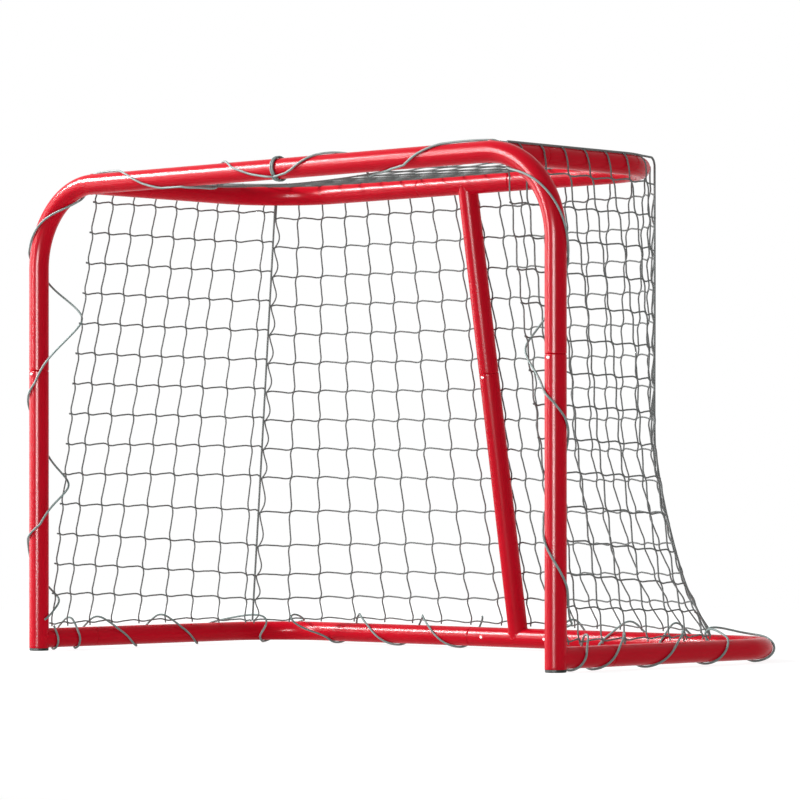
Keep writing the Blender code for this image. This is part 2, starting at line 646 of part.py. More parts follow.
def wind(run, keys, fine=540):
    # Keys are distances along the tube and angles round it. Distance grows evenly with cord laid down.
    path = []
    for (s0, a0), (s1, a1) in zip(keys, keys[1:]):
        count = max(4, int(abs(a1 - a0) / 360 * fine))
        share = [i / count for i in range(count + 1)]
        for _ in range(3):
            points = []
            for i, part in enumerate(share):
                s = s0 + (s1 - s0) * part
                angle = math.radians(a0 + (a1 - a0) * i / count)
                centre, out = run.place(s)
                r = belt(angle, run.edge(s), BIG, SMALL)
                points.append(centre + r * (out * math.cos(angle) + run.across * math.sin(angle)))
            lengths = [0.0]
            for a, b in zip(points, points[1:]):
                lengths.append(lengths[-1] + (b - a).length)
            share = [length / lengths[-1] for length in lengths]
        path += points if not path else points[1:]
    return path


def thin(points, slack):
    # Leaves out points: each straight run goes as far as the points beside it stay close enough.
    array = np.array([tuple(p) for p in points])

    def fits(a, b):
        way = array[b] - array[a]
        length = np.linalg.norm(way)
        if b - a < 2 or length < 1e-9:
            return b - a < 2
        away = np.linalg.norm(np.cross(array[a + 1 : b] - array[a], way / length), axis=1)
        return float(away.max()) <= slack

    kept, here, last = [0], 0, len(array) - 1
    while here < last:
        step = 1
        while here + 2 * step <= last and fits(here, here + 2 * step):
            step *= 2
        low, high = here + step, min(here + 2 * step, last)
        while low < high:
            middle = (low + high + 1) // 2
            if fits(here, middle):
                low = middle
            else:
                high = middle - 1
        here = low
        kept.append(here)
    return [Vector(array[i]) for i in kept]


def self_gap(name, points, radius):
    # The least gap between parts of a cord that are not next to each other, measured on close points.
    array = []
    for a, b in zip(points, points[1:]):
        count = max(1, int((b - a).length / 0.001))
        array += [tuple(a.lerp(b, i / count)) for i in range(count)]
    array = np.array(array)
    steps = np.linalg.norm(np.diff(array, axis=0), axis=1)
    along = np.concatenate([[0], np.cumsum(steps)])
    least = 1.0
    for i in range(0, len(array), 2):
        apart = np.abs(along - along[i]) > 8 * radius
        if apart.any():
            least = min(least, float(np.linalg.norm(array[apart] - array[i], axis=1).min()))
    print(f"{name}: least gap to itself {1000 * (least - 2 * radius):.2f} mm")


def lacing(name, points):
    points = thin(points, LACE_CHORD * 0.93)
    self_gap(name, points, LACE / 2)
    finish(path_object(name, points, LACE / 2, 1), name, (CORD, 0.0, 0.65))


# Base lacing: one cord a side, from the foot round the corner to a tie beside the base tee.
LEFT_BASE = [
    (0.026, 120), (0.036, 270), (0.078, 450), (0.092, 630), (0.150, 810), (0.255, 990), (0.320, 1170),
    (0.421, 1350), (0.478, 1530), (0.590, 1710), (0.676, 1890), (0.764, 2070), (0.821, 2250), (0.935, 2430),
    (1.001, 2610), (1.104, 2790), (1.150, 2950),
]
RIGHT_BASE = [
    (0.026, 120), (0.035, 270), (0.080, 450), (0.094, 630), (0.180, 810), (0.234, 990), (0.340, 1170),
    (0.400, 1350), (0.462, 1530), (0.545, 1710), (0.665, 1890), (0.800, 2070), (0.860, 2250), (0.905, 2430),
    (0.981, 2610), (1.066, 2790), (1.139, 2970), (1.150, 3050),
]
for side, word, keys in ((-1, "left", LEFT_BASE), (1, "right", RIGHT_BASE)):
    start = Vector((side * POST_X, FRONT_Y, BASE_Z))
    line = [start] + rails["base", side][1:-1] + [Vector((0, REAR_Y, BASE_Z))]
    outward = [Vector((side, 0, 0))]
    for i in range(BEND_STEPS + 1):
        a = math.pi / 2 * i / BEND_STEPS
        outward.append(Vector((side * math.cos(a), math.sin(a), 0)))
    outward.append(Vector((0, 1, 0)))
    rear = foot_line[knots + 1 :] if side > 0 else list(reversed(foot_line[: knots + 1]))
    border = side_foot[side] + list(reversed(rear))[1:]
    run = Run(line, outward, (0, 0, 1), border)
    lacing(f"base_lacing_{word}", wind(run, keys))

# Top lacing: one cord whose middle is hitched round the crossbar and whose ends run down the posts.
LEFT_TOP = [
    (0.034, 237), (0.093, 237), (0.115, 283), (0.140, 350), (0.165, 385), (0.200, 500), (0.254, 566),
    (0.308, 568), (0.350, 606), (0.430, 700), (0.482, 725), (0.520, 742), (0.546, 800), (0.569, 880),
    (0.724, 1036), (0.779, 1167), (0.862, 1245), (0.977, 1325), (1.011, 1396), (1.040, 1446), (1.109, 1518),
    (1.179, 1587), (1.250, 1656), (1.282, 1756), (1.338, 1812), (1.421, 1936), (1.434, 1990),
]
RIGHT_TOP = [
    (0.028, 237), (0.050, 258), (0.101, 332), (0.135, 365), (0.165, 395), (0.205, 500), (0.289, 573),
    (0.325, 591), (0.362, 642), (0.410, 694), (0.469, 718), (0.516, 738), (0.545, 800), (0.563, 900),
    (0.779, 1124), (0.820, 1164), (0.923, 1241), (1.014, 1320), (1.035, 1381), (1.061, 1437), (1.088, 1484),
    (1.112, 1512), (1.213, 1580), (1.245, 1647), (1.311, 1754), (1.352, 1818), (1.406, 1862), (1.430, 1960),
]
lead = {}
for side, keys in ((-1, LEFT_TOP), (1, RIGHT_TOP)):
    bend = frame_right if side > 0 else list(reversed(frame_left))
    line = [Vector((0, FRONT_Y, BAR_Z)), *bend, Vector((side * POST_X, FRONT_Y, 0))]
    outward = [Vector((0, 0, 1))]
    for i in range(BEND_STEPS + 1):
        a = math.pi / 2 * i / BEND_STEPS
        outward.append(Vector((side * math.sin(a), 0, math.cos(a))))
    outward.append(Vector((side, 0, 0)))
    half = front_line[knots + 1 :] if side > 0 else list(reversed(front_line[: knots + 1]))
    middle = Vector((0, front_y, half[0].z))
    run = Run(line, outward, (0, 1, 0), [Vector((-half[0].x, half[0].y, half[0].z)), middle, *half, *side_front[side]])
    lead[side] = wind(run, keys)


def bar_point(x, angle, r):
    a = math.radians(angle)
    return Vector((x, FRONT_Y + r * math.sin(a), BAR_Z + r * math.cos(a)))


# The hitch: a turn each side of the middle, a bight that joins them in front and both ends led out under it.
sag_edge = (front_line[knots].z - BAR_Z, BORDER_SETBACK, 1.0)
OVER = BIG + LACE + 0.0018
turns = {}
for side in (-1, 1):
    coil = [
        bar_point(HITCH_X + side * 0.026, 237, BIG),
        bar_point(HITCH_X + side * 0.0175, 239, BIG + 0.0035),
        bar_point(HITCH_X + side * HITCH_HALF, 240, OVER),
        bar_point(HITCH_X + side * 0.0055, 236, BIG + 0.0030),
    ]
    for i in range(0, 121):
        t = i / 120
        angle = 226 - 376 * t
        r = belt(math.radians(angle), sag_edge, BIG, SMALL)
        coil.append(bar_point(HITCH_X + side * (0.0035 + (HITCH_HALF - 0.0035) * t), angle, r))
    turns[side] = coil
bight = []
for i in range(1, 12):
    t = i / 12
    rise = min(1.0, 3.2 * t, 3.2 * (1 - t))
    bight.append(bar_point(HITCH_X + HITCH_HALF * (2 * t - 1), 209, BIG + (OVER - BIG) * rise))
whole = list(reversed(lead[-1]))[:-1] + turns[-1] + bight + list(reversed(turns[1])) + lead[1][1:]
lacing("top_lacing", whole)

counts = bpy.context.evaluated_depsgraph_get()
counts.update()
total = 0
for item in goal.objects:
    mesh = item.evaluated_get(counts).to_mesh()
    mesh.calc_loop_triangles()
    total += len(mesh.loop_triangles)
    print(f"{item.name}: {len(mesh.loop_triangles)} triangles")
print(f"{len(goal.objects)} pieces, {total} triangles")
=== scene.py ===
import json
import math

import bpy
import numpy as np
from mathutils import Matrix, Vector


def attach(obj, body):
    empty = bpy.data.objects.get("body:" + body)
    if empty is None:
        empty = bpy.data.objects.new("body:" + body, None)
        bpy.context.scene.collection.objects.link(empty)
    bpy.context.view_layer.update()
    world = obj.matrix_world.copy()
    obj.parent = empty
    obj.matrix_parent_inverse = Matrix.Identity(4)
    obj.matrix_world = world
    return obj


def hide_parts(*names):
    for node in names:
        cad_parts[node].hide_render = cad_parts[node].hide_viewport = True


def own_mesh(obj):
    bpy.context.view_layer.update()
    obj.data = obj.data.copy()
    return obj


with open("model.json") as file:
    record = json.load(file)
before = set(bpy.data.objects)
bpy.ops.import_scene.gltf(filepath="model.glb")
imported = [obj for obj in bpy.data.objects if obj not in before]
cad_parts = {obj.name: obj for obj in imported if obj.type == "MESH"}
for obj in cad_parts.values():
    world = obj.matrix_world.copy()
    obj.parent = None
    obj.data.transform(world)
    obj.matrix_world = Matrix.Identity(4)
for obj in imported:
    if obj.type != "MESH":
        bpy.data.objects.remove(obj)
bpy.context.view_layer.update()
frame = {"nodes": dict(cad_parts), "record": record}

# Camera: a long lens, level, 7.3 m from the goal and 43.7 degrees round from its mouth.
# The lens is shifted up, so the posts stay upright in the picture.
camera = bpy.data.cameras.new("camera")
camera.sensor_width = 36
camera.lens = 174.57
camera.shift_y = 0.1159
camera.clip_end = 200
eye = bpy.data.objects.new("camera", camera)
eye.location = (5.034, -5.272, 0.3057)
eye.rotation_euler = (math.radians(90), 0, math.radians(43.729))
bpy.context.scene.collection.objects.link(eye)
bpy.context.scene.camera = eye


# Studio: white surroundings, a pale floor and one large soft lamp high on the left of the mouth.
# Four bright cards stand to the left of the camera, and only the gloss sees them.
class Wire:
    """One output of a shader node, which adds and multiplies as a number does."""

    def __init__(self, tree, socket=None):
        self.tree, self.socket = tree, socket

    def node(self, kind, out=0, ins=None, **settings):
        made = self.tree.nodes.new(kind)
        for name, value in settings.items():
            setattr(made, name, value)
        for name, value in (ins or {}).items():
            if isinstance(value, Wire):
                self.tree.links.new(value.socket, made.inputs[name])
            else:
                made.inputs[name].default_value = value
        return Wire(self.tree, made.outputs[out])

    def maths(self, operation, *others):
        ins = {0: self} | {i + 1: other for i, other in enumerate(others)}
        return self.node("ShaderNodeMath", ins=ins, operation=operation)

    def __add__(self, other):
        return self.maths("ADD", other)

    __radd__ = __add__

    def __mul__(self, other):
        return self.maths("MULTIPLY", other)

    __rmul__ = __mul__

    def __sub__(self, other):
        return self.maths("SUBTRACT", other)

    def __rsub__(self, other):
        return self * -1 + other

    def colour(self, low, high):
        # Goes from one colour to another as this value goes from 0 to 1.
        ins = {"Factor": self, 6: (*low, 1), 7: (*high, 1)}
        return self.node("ShaderNodeMix", out=2, ins=ins, data_type="RGBA")

    def noise(self, scale, detail):
        # Cloudy values between 0 and 1, as many clouds to the metre as the scale says.
        spot = self.node("ShaderNodeTexCoord", out="Object")
        return self.node("ShaderNodeTexNoise", ins={"Vector": spot, "Scale": scale, "Detail": detail})

    def relief(self, strength, distance):
        # Raises and sinks the surface with this value.
        ins = {"Strength": strength, "Distance": distance, "Height": self}
        return self.node("ShaderNodeBump", ins=ins)

    def feed(self, shader, socket):
        self.tree.links.new(self.socket, shader.inputs[socket])


def seen_by_eye(wire):
    # 1 for camera, glossy and transmission rays, which see the white surroundings.
    path = wire.node("ShaderNodeLightPath").socket.node
    camera_ray, glossy, clear = (Wire(wire.tree, path.outputs[n]) for n in
                                 ("Is Camera Ray", "Is Glossy Ray", "Is Transmission Ray"))
    return camera_ray.maths("MAXIMUM", glossy).maths("MAXIMUM", clear)


world = bpy.data.worlds.new("white_studio")
world.use_nodes = True
world.node_tree.nodes.clear()
air = Wire(world.node_tree)
fill = air.node("ShaderNodeBackground", ins={"Color": (1, 1, 1, 1), "Strength": 0.45})
white = air.node("ShaderNodeBackground", ins={"Color": (1, 1, 1, 1), "Strength": 1.0})
mixed = air.node("ShaderNodeMixShader", ins={0: seen_by_eye(air), 1: fill, 2: white})
mixed.feed(world.node_tree.nodes.new("ShaderNodeOutputWorld"), "Surface")
bpy.context.scene.world = world
bpy.context.scene.view_settings.view_transform = "Standard"


def new_piece(name, vertices, faces, *finishes):
    # Puts a mesh into the scene under its name.
    mesh = bpy.data.meshes.new(name)
    mesh.from_pydata([tuple(v) for v in vertices], [], faces)
    for finish in finishes:
        mesh.materials.append(finish)
    made = bpy.data.objects.new(name, mesh)
    bpy.context.scene.collection.objects.link(made)
    return made


def flat_card(name, centre, facing, width, height):
    # A flat sheet of the studio, turned to face a way, with an empty material and its wire.
    facing = Vector(facing).normalized()
    across = facing.cross(Vector((0, 0, 1))) if abs(facing.z) < 0.99 else Vector((1, 0, 0))
    across.normalize()
    up = across.cross(facing)
    centre = Vector(centre)
    corners = [centre + across * a * width / 2 + up * b * height / 2
               for a, b in ((-1, -1), (1, -1), (1, 1), (-1, 1))]
    paint = bpy.data.materials.new(name)
    paint.use_nodes = True
    paint.node_tree.nodes.clear()
    made = new_piece(name, corners, [(0, 1, 2, 3)], paint)
    return made, Wire(paint.node_tree)


def from_goal(turn, lift, distance):
    # A place seen from the goal's middle: turned from +X towards -Y, lifted from level.
    turn, lift = math.radians(turn), math.radians(lift)
    way = Vector((math.cos(lift) * math.cos(turn), -math.cos(lift) * math.sin(turn), math.sin(lift)))
    return MIDDLE + way * distance


MIDDLE = Vector((0, 0, 0.45))
FLOOR_WIDE, FLOOR_Z = 5.4, -0.0003
_, wire = flat_card("floor", (0, 0, FLOOR_Z), (0, 0, 1), FLOOR_WIDE, FLOOR_WIDE)
pale = wire.node("ShaderNodeBsdfDiffuse", ins={"Color": (0.5, 0.5, 0.5, 1)})
lift = wire.node("ShaderNodeEmission", ins={"Strength": 0.27})
dim = wire.node("ShaderNodeAddShader", ins={0: pale, 1: lift})
matt = wire.node("ShaderNodeBsdfDiffuse", ins={"Color": (0.22, 0.22, 0.22, 1)})
place = wire.node("ShaderNodeTexCoord", out="Object")
away = wire.node("ShaderNodeVectorMath", out=1, ins={0: place}, operation="LENGTH")
paler = (away * 0.35 - 0.5).maths("MAXIMUM", 0.0).maths("MINIMUM", 1.0)
glow = wire.node("ShaderNodeEmission", ins={"Strength": paler * 0.14 + 0.88})
bright = wire.node("ShaderNodeAddShader", ins={0: matt, 1: glow})
result = wire.node("ShaderNodeMixShader", ins={0: seen_by_eye(wire), 1: dim, 2: bright})
result.feed(wire.tree.nodes.new("ShaderNodeOutputMaterial"), "Surface")

lamp = bpy.data.lights.new("key", "AREA")
lamp.shape = "RECTANGLE"
lamp.size, lamp.size_y = 3.2, 2.4
lamp.energy = 700
key = bpy.data.objects.new("key", lamp)
key.location = from_goal(140, 35, 8.0)
key.rotation_euler = (MIDDLE - key.location).to_track_quat("-Z", "Y").to_euler()
bpy.context.scene.collection.objects.link(key)
key.visible_camera = False
key.visible_glossy = False

# Turn and lift in degrees, then distance, width and height in metres, and how bright the card is.
cards = {
    "card_front": (68, 0, 30.0, 10.0, 12.0, 150.0),
    "card_high": (148, 29, 4.2, 1.3, 1.1, 190.0),
    "card_bend": (122, 18, 8.0, 1.8, 4.0, 120.0),
    "card_left": (157, 0, 5.0, 3.6, 2.4, 10.0),
}
for name, (turn, lift, distance, width, height, strength) in cards.items():
    place = from_goal(turn, lift, distance)
    card, wire = flat_card(name, place, MIDDLE - place, width, height)
    shine = wire.node("ShaderNodeEmission", ins={"Strength": strength})
    shine.feed(wire.tree.nodes.new("ShaderNodeOutputMaterial"), "Surface")
    card.visible_camera = card.visible_diffuse = card.visible_shadow = card.visible_transmission = False


# Upper frame: the crossbar, both bends and the upper posts, bent from one 38 mm steel tube.
# Its feet are drawn down to plug into the lower posts. Deep red gloss powder coat all over.
def new_finish(name):
    # A material, its shader and a wire to build its look with.
    made = bpy.data.materials.new(name)
    made.use_nodes = True
    return made, made.node_tree.nodes["Principled BSDF"], Wire(made.node_tree)


red, shader, wire = new_finish("red_paint")
shader.inputs["Specular IOR Level"].default_value = 0.055
cloud = wire.noise(9.0, 3.0)
cloud.colour((0.60, 0.0020, 0.014), (0.66, 0.0040, 0.020)).feed(shader, "Base Color")
(cloud * 0.04 + 0.22).feed(shader, "Roughness")
skin = wire.noise(420.0, 1.0) + wire.noise(55.0, 0.0) * 0.1
skin.relief(0.03, 0.0002).feed(shader, "Normal")

# The tube, its rounded rim, the swaged plug, how deep a bore is shown, and the fineness of the skin.
RADIUS, WALL, RIM = 0.019, 0.0016, 0.0004
PLUG, PLUG_RADIUS, BORE = 0.060, 0.0171, 0.015
ROUND, BEND_STEPS = 56, 28
COPE_BACK, COPE_SINK = 0.050, 0.0004
SEAM, SEAM_Z = 0.0003, 0.541
# Where the tubes' middle lines run, and the radii of their bends.
POST_X, FRONT_Y, REAR_Y, BAR_Z, BASE_Z = 0.667, -0.324, 0.324, 0.895, 0.024
TOP_X, TOP_Y, TOP_BEND, BASE_BEND, FRAME_BEND = 0.515, 0.177, 0.157, 0.130, 0.157


def bend(centre, first, second, radius):
    centre, first, second = Vector(centre), Vector(first), Vector(second)
    turns = [math.pi / 2 * i / BEND_STEPS for i in range(BEND_STEPS + 1)]
    return [centre + radius * (first * math.cos(a) + second * math.sin(a)) for a in turns]


def rings(name, points, radii):
    # A skin of rings along a line, each with its own radius. Rings at one place make a step or a rim.
    points = np.array([tuple(p) for p in points], float)
    ways = np.zeros_like(points)
    last = None
    for i in range(len(points)):
        ahead = next((points[j] - points[i] for j in range(i + 1, len(points))
                      if np.linalg.norm(points[j] - points[i]) > 1e-6), None)
        behind = next((points[i] - points[j] for j in range(i - 1, -1, -1)
                       if np.linalg.norm(points[i] - points[j]) > 1e-6), None)
        pair = [w / np.linalg.norm(w) for w in (ahead, behind) if w is not None]
        if len(pair) == 2 and pair[0].dot(pair[1]) < 0:
            pair = pair[1:]
        way = sum(pair) / np.linalg.norm(sum(pair))
        if last is not None and way.dot(last) < 0:
            way = -way
        ways[i] = last = way
    side = np.cross(ways[0], (0.0, 0.0, 1.0) if abs(ways[0][2]) < 0.9 else (1.0, 0.0, 0.0))
    vertices, faces = [], []
    for i, (point, way, radius) in enumerate(zip(points, ways, radii)):
        side = side - way * side.dot(way)
        side /= np.linalg.norm(side)
        other = np.cross(way, side)
        for k in range(ROUND):
            a = 2 * math.pi * k / ROUND
            vertices.append(point + radius * (side * math.cos(a) + other * math.sin(a)))
    for i in range(len(points) - 1):
        for k in range(ROUND):
            a, b = i * ROUND + k, i * ROUND + (k + 1) % ROUND
            faces.append((a, b, b + ROUND, a + ROUND))
    made = new_piece(name, vertices, faces, red)
    made.data.shade_smooth()
    made.data.set_sharp_from_angle(angle=math.radians(40))
    return made


def coped(piece, ring, way, centre, axis):
    # Cuts a tube's end ring to the round of the tube it meets and returns the line of the joint.
    axis = Vector(axis).normalized()
    line = []
    for k in range(ROUND):
        vertex = piece.data.vertices[ring * ROUND + k]
        a, b = (vertex.co - Vector(centre)).cross(axis), way.cross(axis)
        root = max(0.0, a.dot(b) ** 2 - b.dot(b) * (a.dot(a) - (RADIUS - COPE_SINK) ** 2))
        vertex.co += way * ((-a.dot(b) - math.sqrt(root)) / b.dot(b))
        line.append(vertex.co.copy())
    return line


def weld(name, line, size=0.0012, sides=8):
    # The bead of a weld: a thin closed ring of steel laid along the joint, painted with the tubes.
    vertices, faces = [], []
    middle = sum(line, Vector()) / len(line)
    for i, point in enumerate(line):
        way = (line[(i + 1) % len(line)] - line[i - 1]).normalized()
        out = (point - middle) - way * (point - middle).dot(way)
        out.normalize()
        other = way.cross(out)
        for k in range(sides):
            a = 2 * math.pi * k / sides
            vertices.append(point + size * (out * math.cos(a) + other * math.sin(a)))
    for i in range(len(line)):
        for k in range(sides):
            a, b = i * sides + k, i * sides + (k + 1) % sides
            n = len(vertices)
            faces.append((a, b, (b + sides) % n, (a + sides) % n))
    made = new_piece(name, vertices, faces, red)
    made.data.shade_smooth()
    return made


def tube(name, points, swaged=(), cope=()):
    # The tube's outside, its rims and the first of its bore. A swaged end is drawn down to a plug.
    # A coped end has no rim: it runs into the tube that it is welded to.
    points = [Vector(p) for p in points]
    first, last = (points[1] - points[0]).normalized(), (points[-1] - points[-2]).normalized()
    line, size = points[1:-1], [RADIUS] * (len(points) - 2)
    ends = []
    for mark, point, way in (("start", points[0], -first), ("end", points[-1], last)):
        if mark in cope:
            here = [(-COPE_BACK - 0.002, RADIUS), (-COPE_BACK, RADIUS)]
        elif mark in swaged:
            here = [(-0.006, RADIUS), (-0.0024, RADIUS), (-0.0018, RADIUS - 0.0001),
                    (-0.0012, RADIUS - 0.0004), (-0.0006, PLUG_RADIUS + 0.0009), (0, PLUG_RADIUS + 0.0003),
                    (0.0005, PLUG_RADIUS), (PLUG, PLUG_RADIUS), (PLUG, PLUG_RADIUS - WALL),
                    (PLUG - BORE, PLUG_RADIUS - WALL)]
        else:
            here = [(-0.004, RADIUS), (-2 * RIM, RADIUS), (-RIM, RADIUS - RIM / 8),
                    (-RIM * 0.3, RADIUS - RIM * 0.4), (0, RADIUS - RIM), (0, RADIUS - WALL),
                    (-BORE, RADIUS - WALL)]
        ends.append([(point + way * d, r) for d, r in here])
    line = [p for p, r in reversed(ends[0])] + line + [p for p, r in ends[1]]
    size = [r for p, r in reversed(ends[0])] + size + [r for p, r in ends[1]]
    return rings(name, line, size)


def on_frame(piece, slot, *nodes):
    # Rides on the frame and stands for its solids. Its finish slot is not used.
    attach(piece, "frame")
    if nodes:
        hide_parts(*nodes)
    return piece


frame_left = bend((-POST_X + FRAME_BEND, FRONT_Y, BAR_Z - FRAME_BEND), (-1, 0, 0), (0, 0, 1), FRAME_BEND)
frame_right = [Vector((-p.x, p.y, p.z)) for p in reversed(frame_left)]
feet = [Vector((side * POST_X, FRONT_Y, SEAM_Z)) for side in (-1, 1)]
on_frame(tube("crossbar", [feet[0], *frame_left, *frame_right, feet[1]], ("start", "end")), "red_paint",
         "upper_frame")

# Lower posts: plain lengths of the same tube, cut square at both ends.
# They stand on the foot caps and reach up to the seams, where the upper frame plugs in.
POST_FOOT_Z = 0.005
for side, word in ((-1, "left"), (1, "right")):
    post = [(side * POST_X, FRONT_Y, z) for z in (POST_FOOT_Z, SEAM_Z - SEAM)]
    on_frame(tube(f"post_{word}", post), "red_paint", f"lower_post_{word}")

# Rails: the same tube again. Each is swaged at both ends, into a short stub welded to the frame and into
# a tee at the rear, and turns its rear corner in one bend.
STUB_Y = FRONT_Y + 0.137
TOP_TEE_HALF, BASE_TEE_HALF = 0.118, 0.120
for side, word in ((-1, "left"), (1, "right")):
    for level, x, back, z, radius, half in (("top", TOP_X, TOP_Y, BAR_Z, TOP_BEND, TOP_TEE_HALF),
                                             ("base", POST_X, REAR_Y, BASE_Z, BASE_BEND, BASE_TEE_HALF)):
        stub = tube(f"{level}_stub_tube_{word}", [(side * x, FRONT_Y, z), (side * x, STUB_Y - SEAM, z)],
                    cope=("start",))
        front_tube = (1, 0, 0) if level == "top" else (0, 0, 1)
        seam_line = coped(stub, 0, Vector((0, -1, 0)), (side * x, FRONT_Y, z), front_tube)
        on_frame(stub, "red_paint", f"{level}_stub_{word}")
        on_frame(weld(f"{level}_stub_weld_{word}", seam_line), "red_paint")
        corner = bend((side * (x - radius), back - radius, z), (side, 0, 0), (0, 1, 0), radius)
        rail = tube(f"{level}_rail_tube_{word}", [(side * x, STUB_Y, z), *corner, (side * half, back, z)],
                    ("start", "end"))
        on_frame(rail, "red_paint", f"{level}_rail_{word}")

# Tees and strut: a short rail top and bottom, with the sloping strut coped and welded between them.
# The strut is two lengths that plug together a little above its middle.
STRUT_FOOT, STRUT_HEAD = Vector((0, REAR_Y, BASE_Z)), Vector((0, TOP_Y, BAR_Z))
STRUT_WAY = (STRUT_HEAD - STRUT_FOOT).normalized()
STRUT_SEAM_Z = 0.5355
strut_seam = STRUT_FOOT + STRUT_WAY * ((STRUT_SEAM_Z - BASE_Z) / STRUT_WAY.z)
for name, centre, half in (("top_tee", STRUT_HEAD, TOP_TEE_HALF), ("base_tee", STRUT_FOOT, BASE_TEE_HALF)):
    reach = Vector((half - SEAM, 0, 0))
    on_frame(tube(f"{name}_tube", [centre - reach, centre + reach]), "red_paint", name)
lower = tube("strut_lower_tube", [STRUT_FOOT, strut_seam - STRUT_WAY * SEAM], cope=("start",))
foot_joint = coped(lower, 0, -STRUT_WAY, STRUT_FOOT, (1, 0, 0))
on_frame(lower, "red_paint", "strut_lower")
on_frame(weld("strut_foot_weld", foot_joint), "red_paint")
upper = tube("strut_upper_tube", [strut_seam, STRUT_HEAD], ("start",), cope=("end",))
head_joint = coped(upper, len(upper.data.vertices) // ROUND - 1, STRUT_WAY, STRUT_HEAD, (1, 0, 0))
on_frame(upper, "red_paint", "strut_upper")
on_frame(weld("strut_head_weld", head_joint), "red_paint")

# Snap buttons and foot caps: domed steel pins, bright plated, standing 2.6 mm proud of the tubes, each
# on a bent leaf spring inside, and the dark moulded caps that the posts stand on.
steel, shader, wire = new_finish("button_steel")
shader.inputs["Metallic"].default_value = 1.0
rub = wire.noise(700.0, 2.0)
(rub * 0.14 + 0.10).feed(shader, "Roughness")
rub.colour((0.72, 0.73, 0.74), (0.86, 0.87, 0.88)).feed(shader, "Base Color")
for name, node in frame["nodes"].items():
    if "button" in name:
        node.data.materials.clear()
        node.data.materials.append(steel)
cap_look, shader, wire = new_finish("cap_plastic")
grain = wire.noise(260.0, 3.0)
grain.colour((0.010, 0.019, 0.017), (0.022, 0.033, 0.030)).feed(shader, "Base Color")
(grain * 0.25 + 0.38).feed(shader, "Roughness")
shader.inputs["Specular IOR Level"].default_value = 0.15
# Each spring that a joint of the record deforms gets a mesh of its own.
for joint in frame["record"]["behaviour"]["joints"]:
    spring = frame["nodes"][joint["deforming_nodes"][0]["node"]]
    way = Vector(joint["axis"])
    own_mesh(spring)
for word in ("left", "right"):
    cap = frame["nodes"][f"foot_cap_{word}"]
    cap.data.materials.clear()
    cap.data.materials.append(cap_look)

# Net: knotted 3 mm twine in 58 mm squares, one bag made of two sides, a back and a top.
# Each strand is laid as a line through its knots and the tree below gives it its thickness.
HALF, CORD = 0.0015, 0.002


def cord_look(name, low, high, lay, twist, rough, gloss):
    # Twisted or braided fibre between two colours: lay strands round it, and twist radians to the metre.
    made, shader, wire = new_finish(name)
    attribute = wire.node("ShaderNodeAttribute", out="Vector", attribute_name="lay")
    split = attribute.node("ShaderNodeSeparateXYZ", ins={0: attribute}).socket.node
    x, y, along = (Wire(wire.tree, split.outputs[i]) for i in range(3))
    round_it = y.maths("ARCTAN2", x)
    strands = (round_it * lay + along * twist).maths("SINE")
    other = (round_it * -lay + along * twist).maths("SINE")
    braid = strands.maths("MAXIMUM", other) if lay > 1 else strands
    # The colour also follows the braid, lighter on the strands and darker between them: painted shade in
    # the grooves. The noise is tone that differs at random.
    (wire.noise(30.0, 2.0) + braid * 0.12).colour(low, high).feed(shader, "Base Color")
    braid.relief(0.5, 0.0003).feed(shader, "Normal")
    shader.inputs["Roughness"].default_value = rough
    shader.inputs["Specular IOR Level"].default_value = gloss
    return made


twine_look = cord_look("twine", (0.140, 0.149, 0.146), (0.235, 0.246, 0.242), 1, 900, 0.7, 0.06)


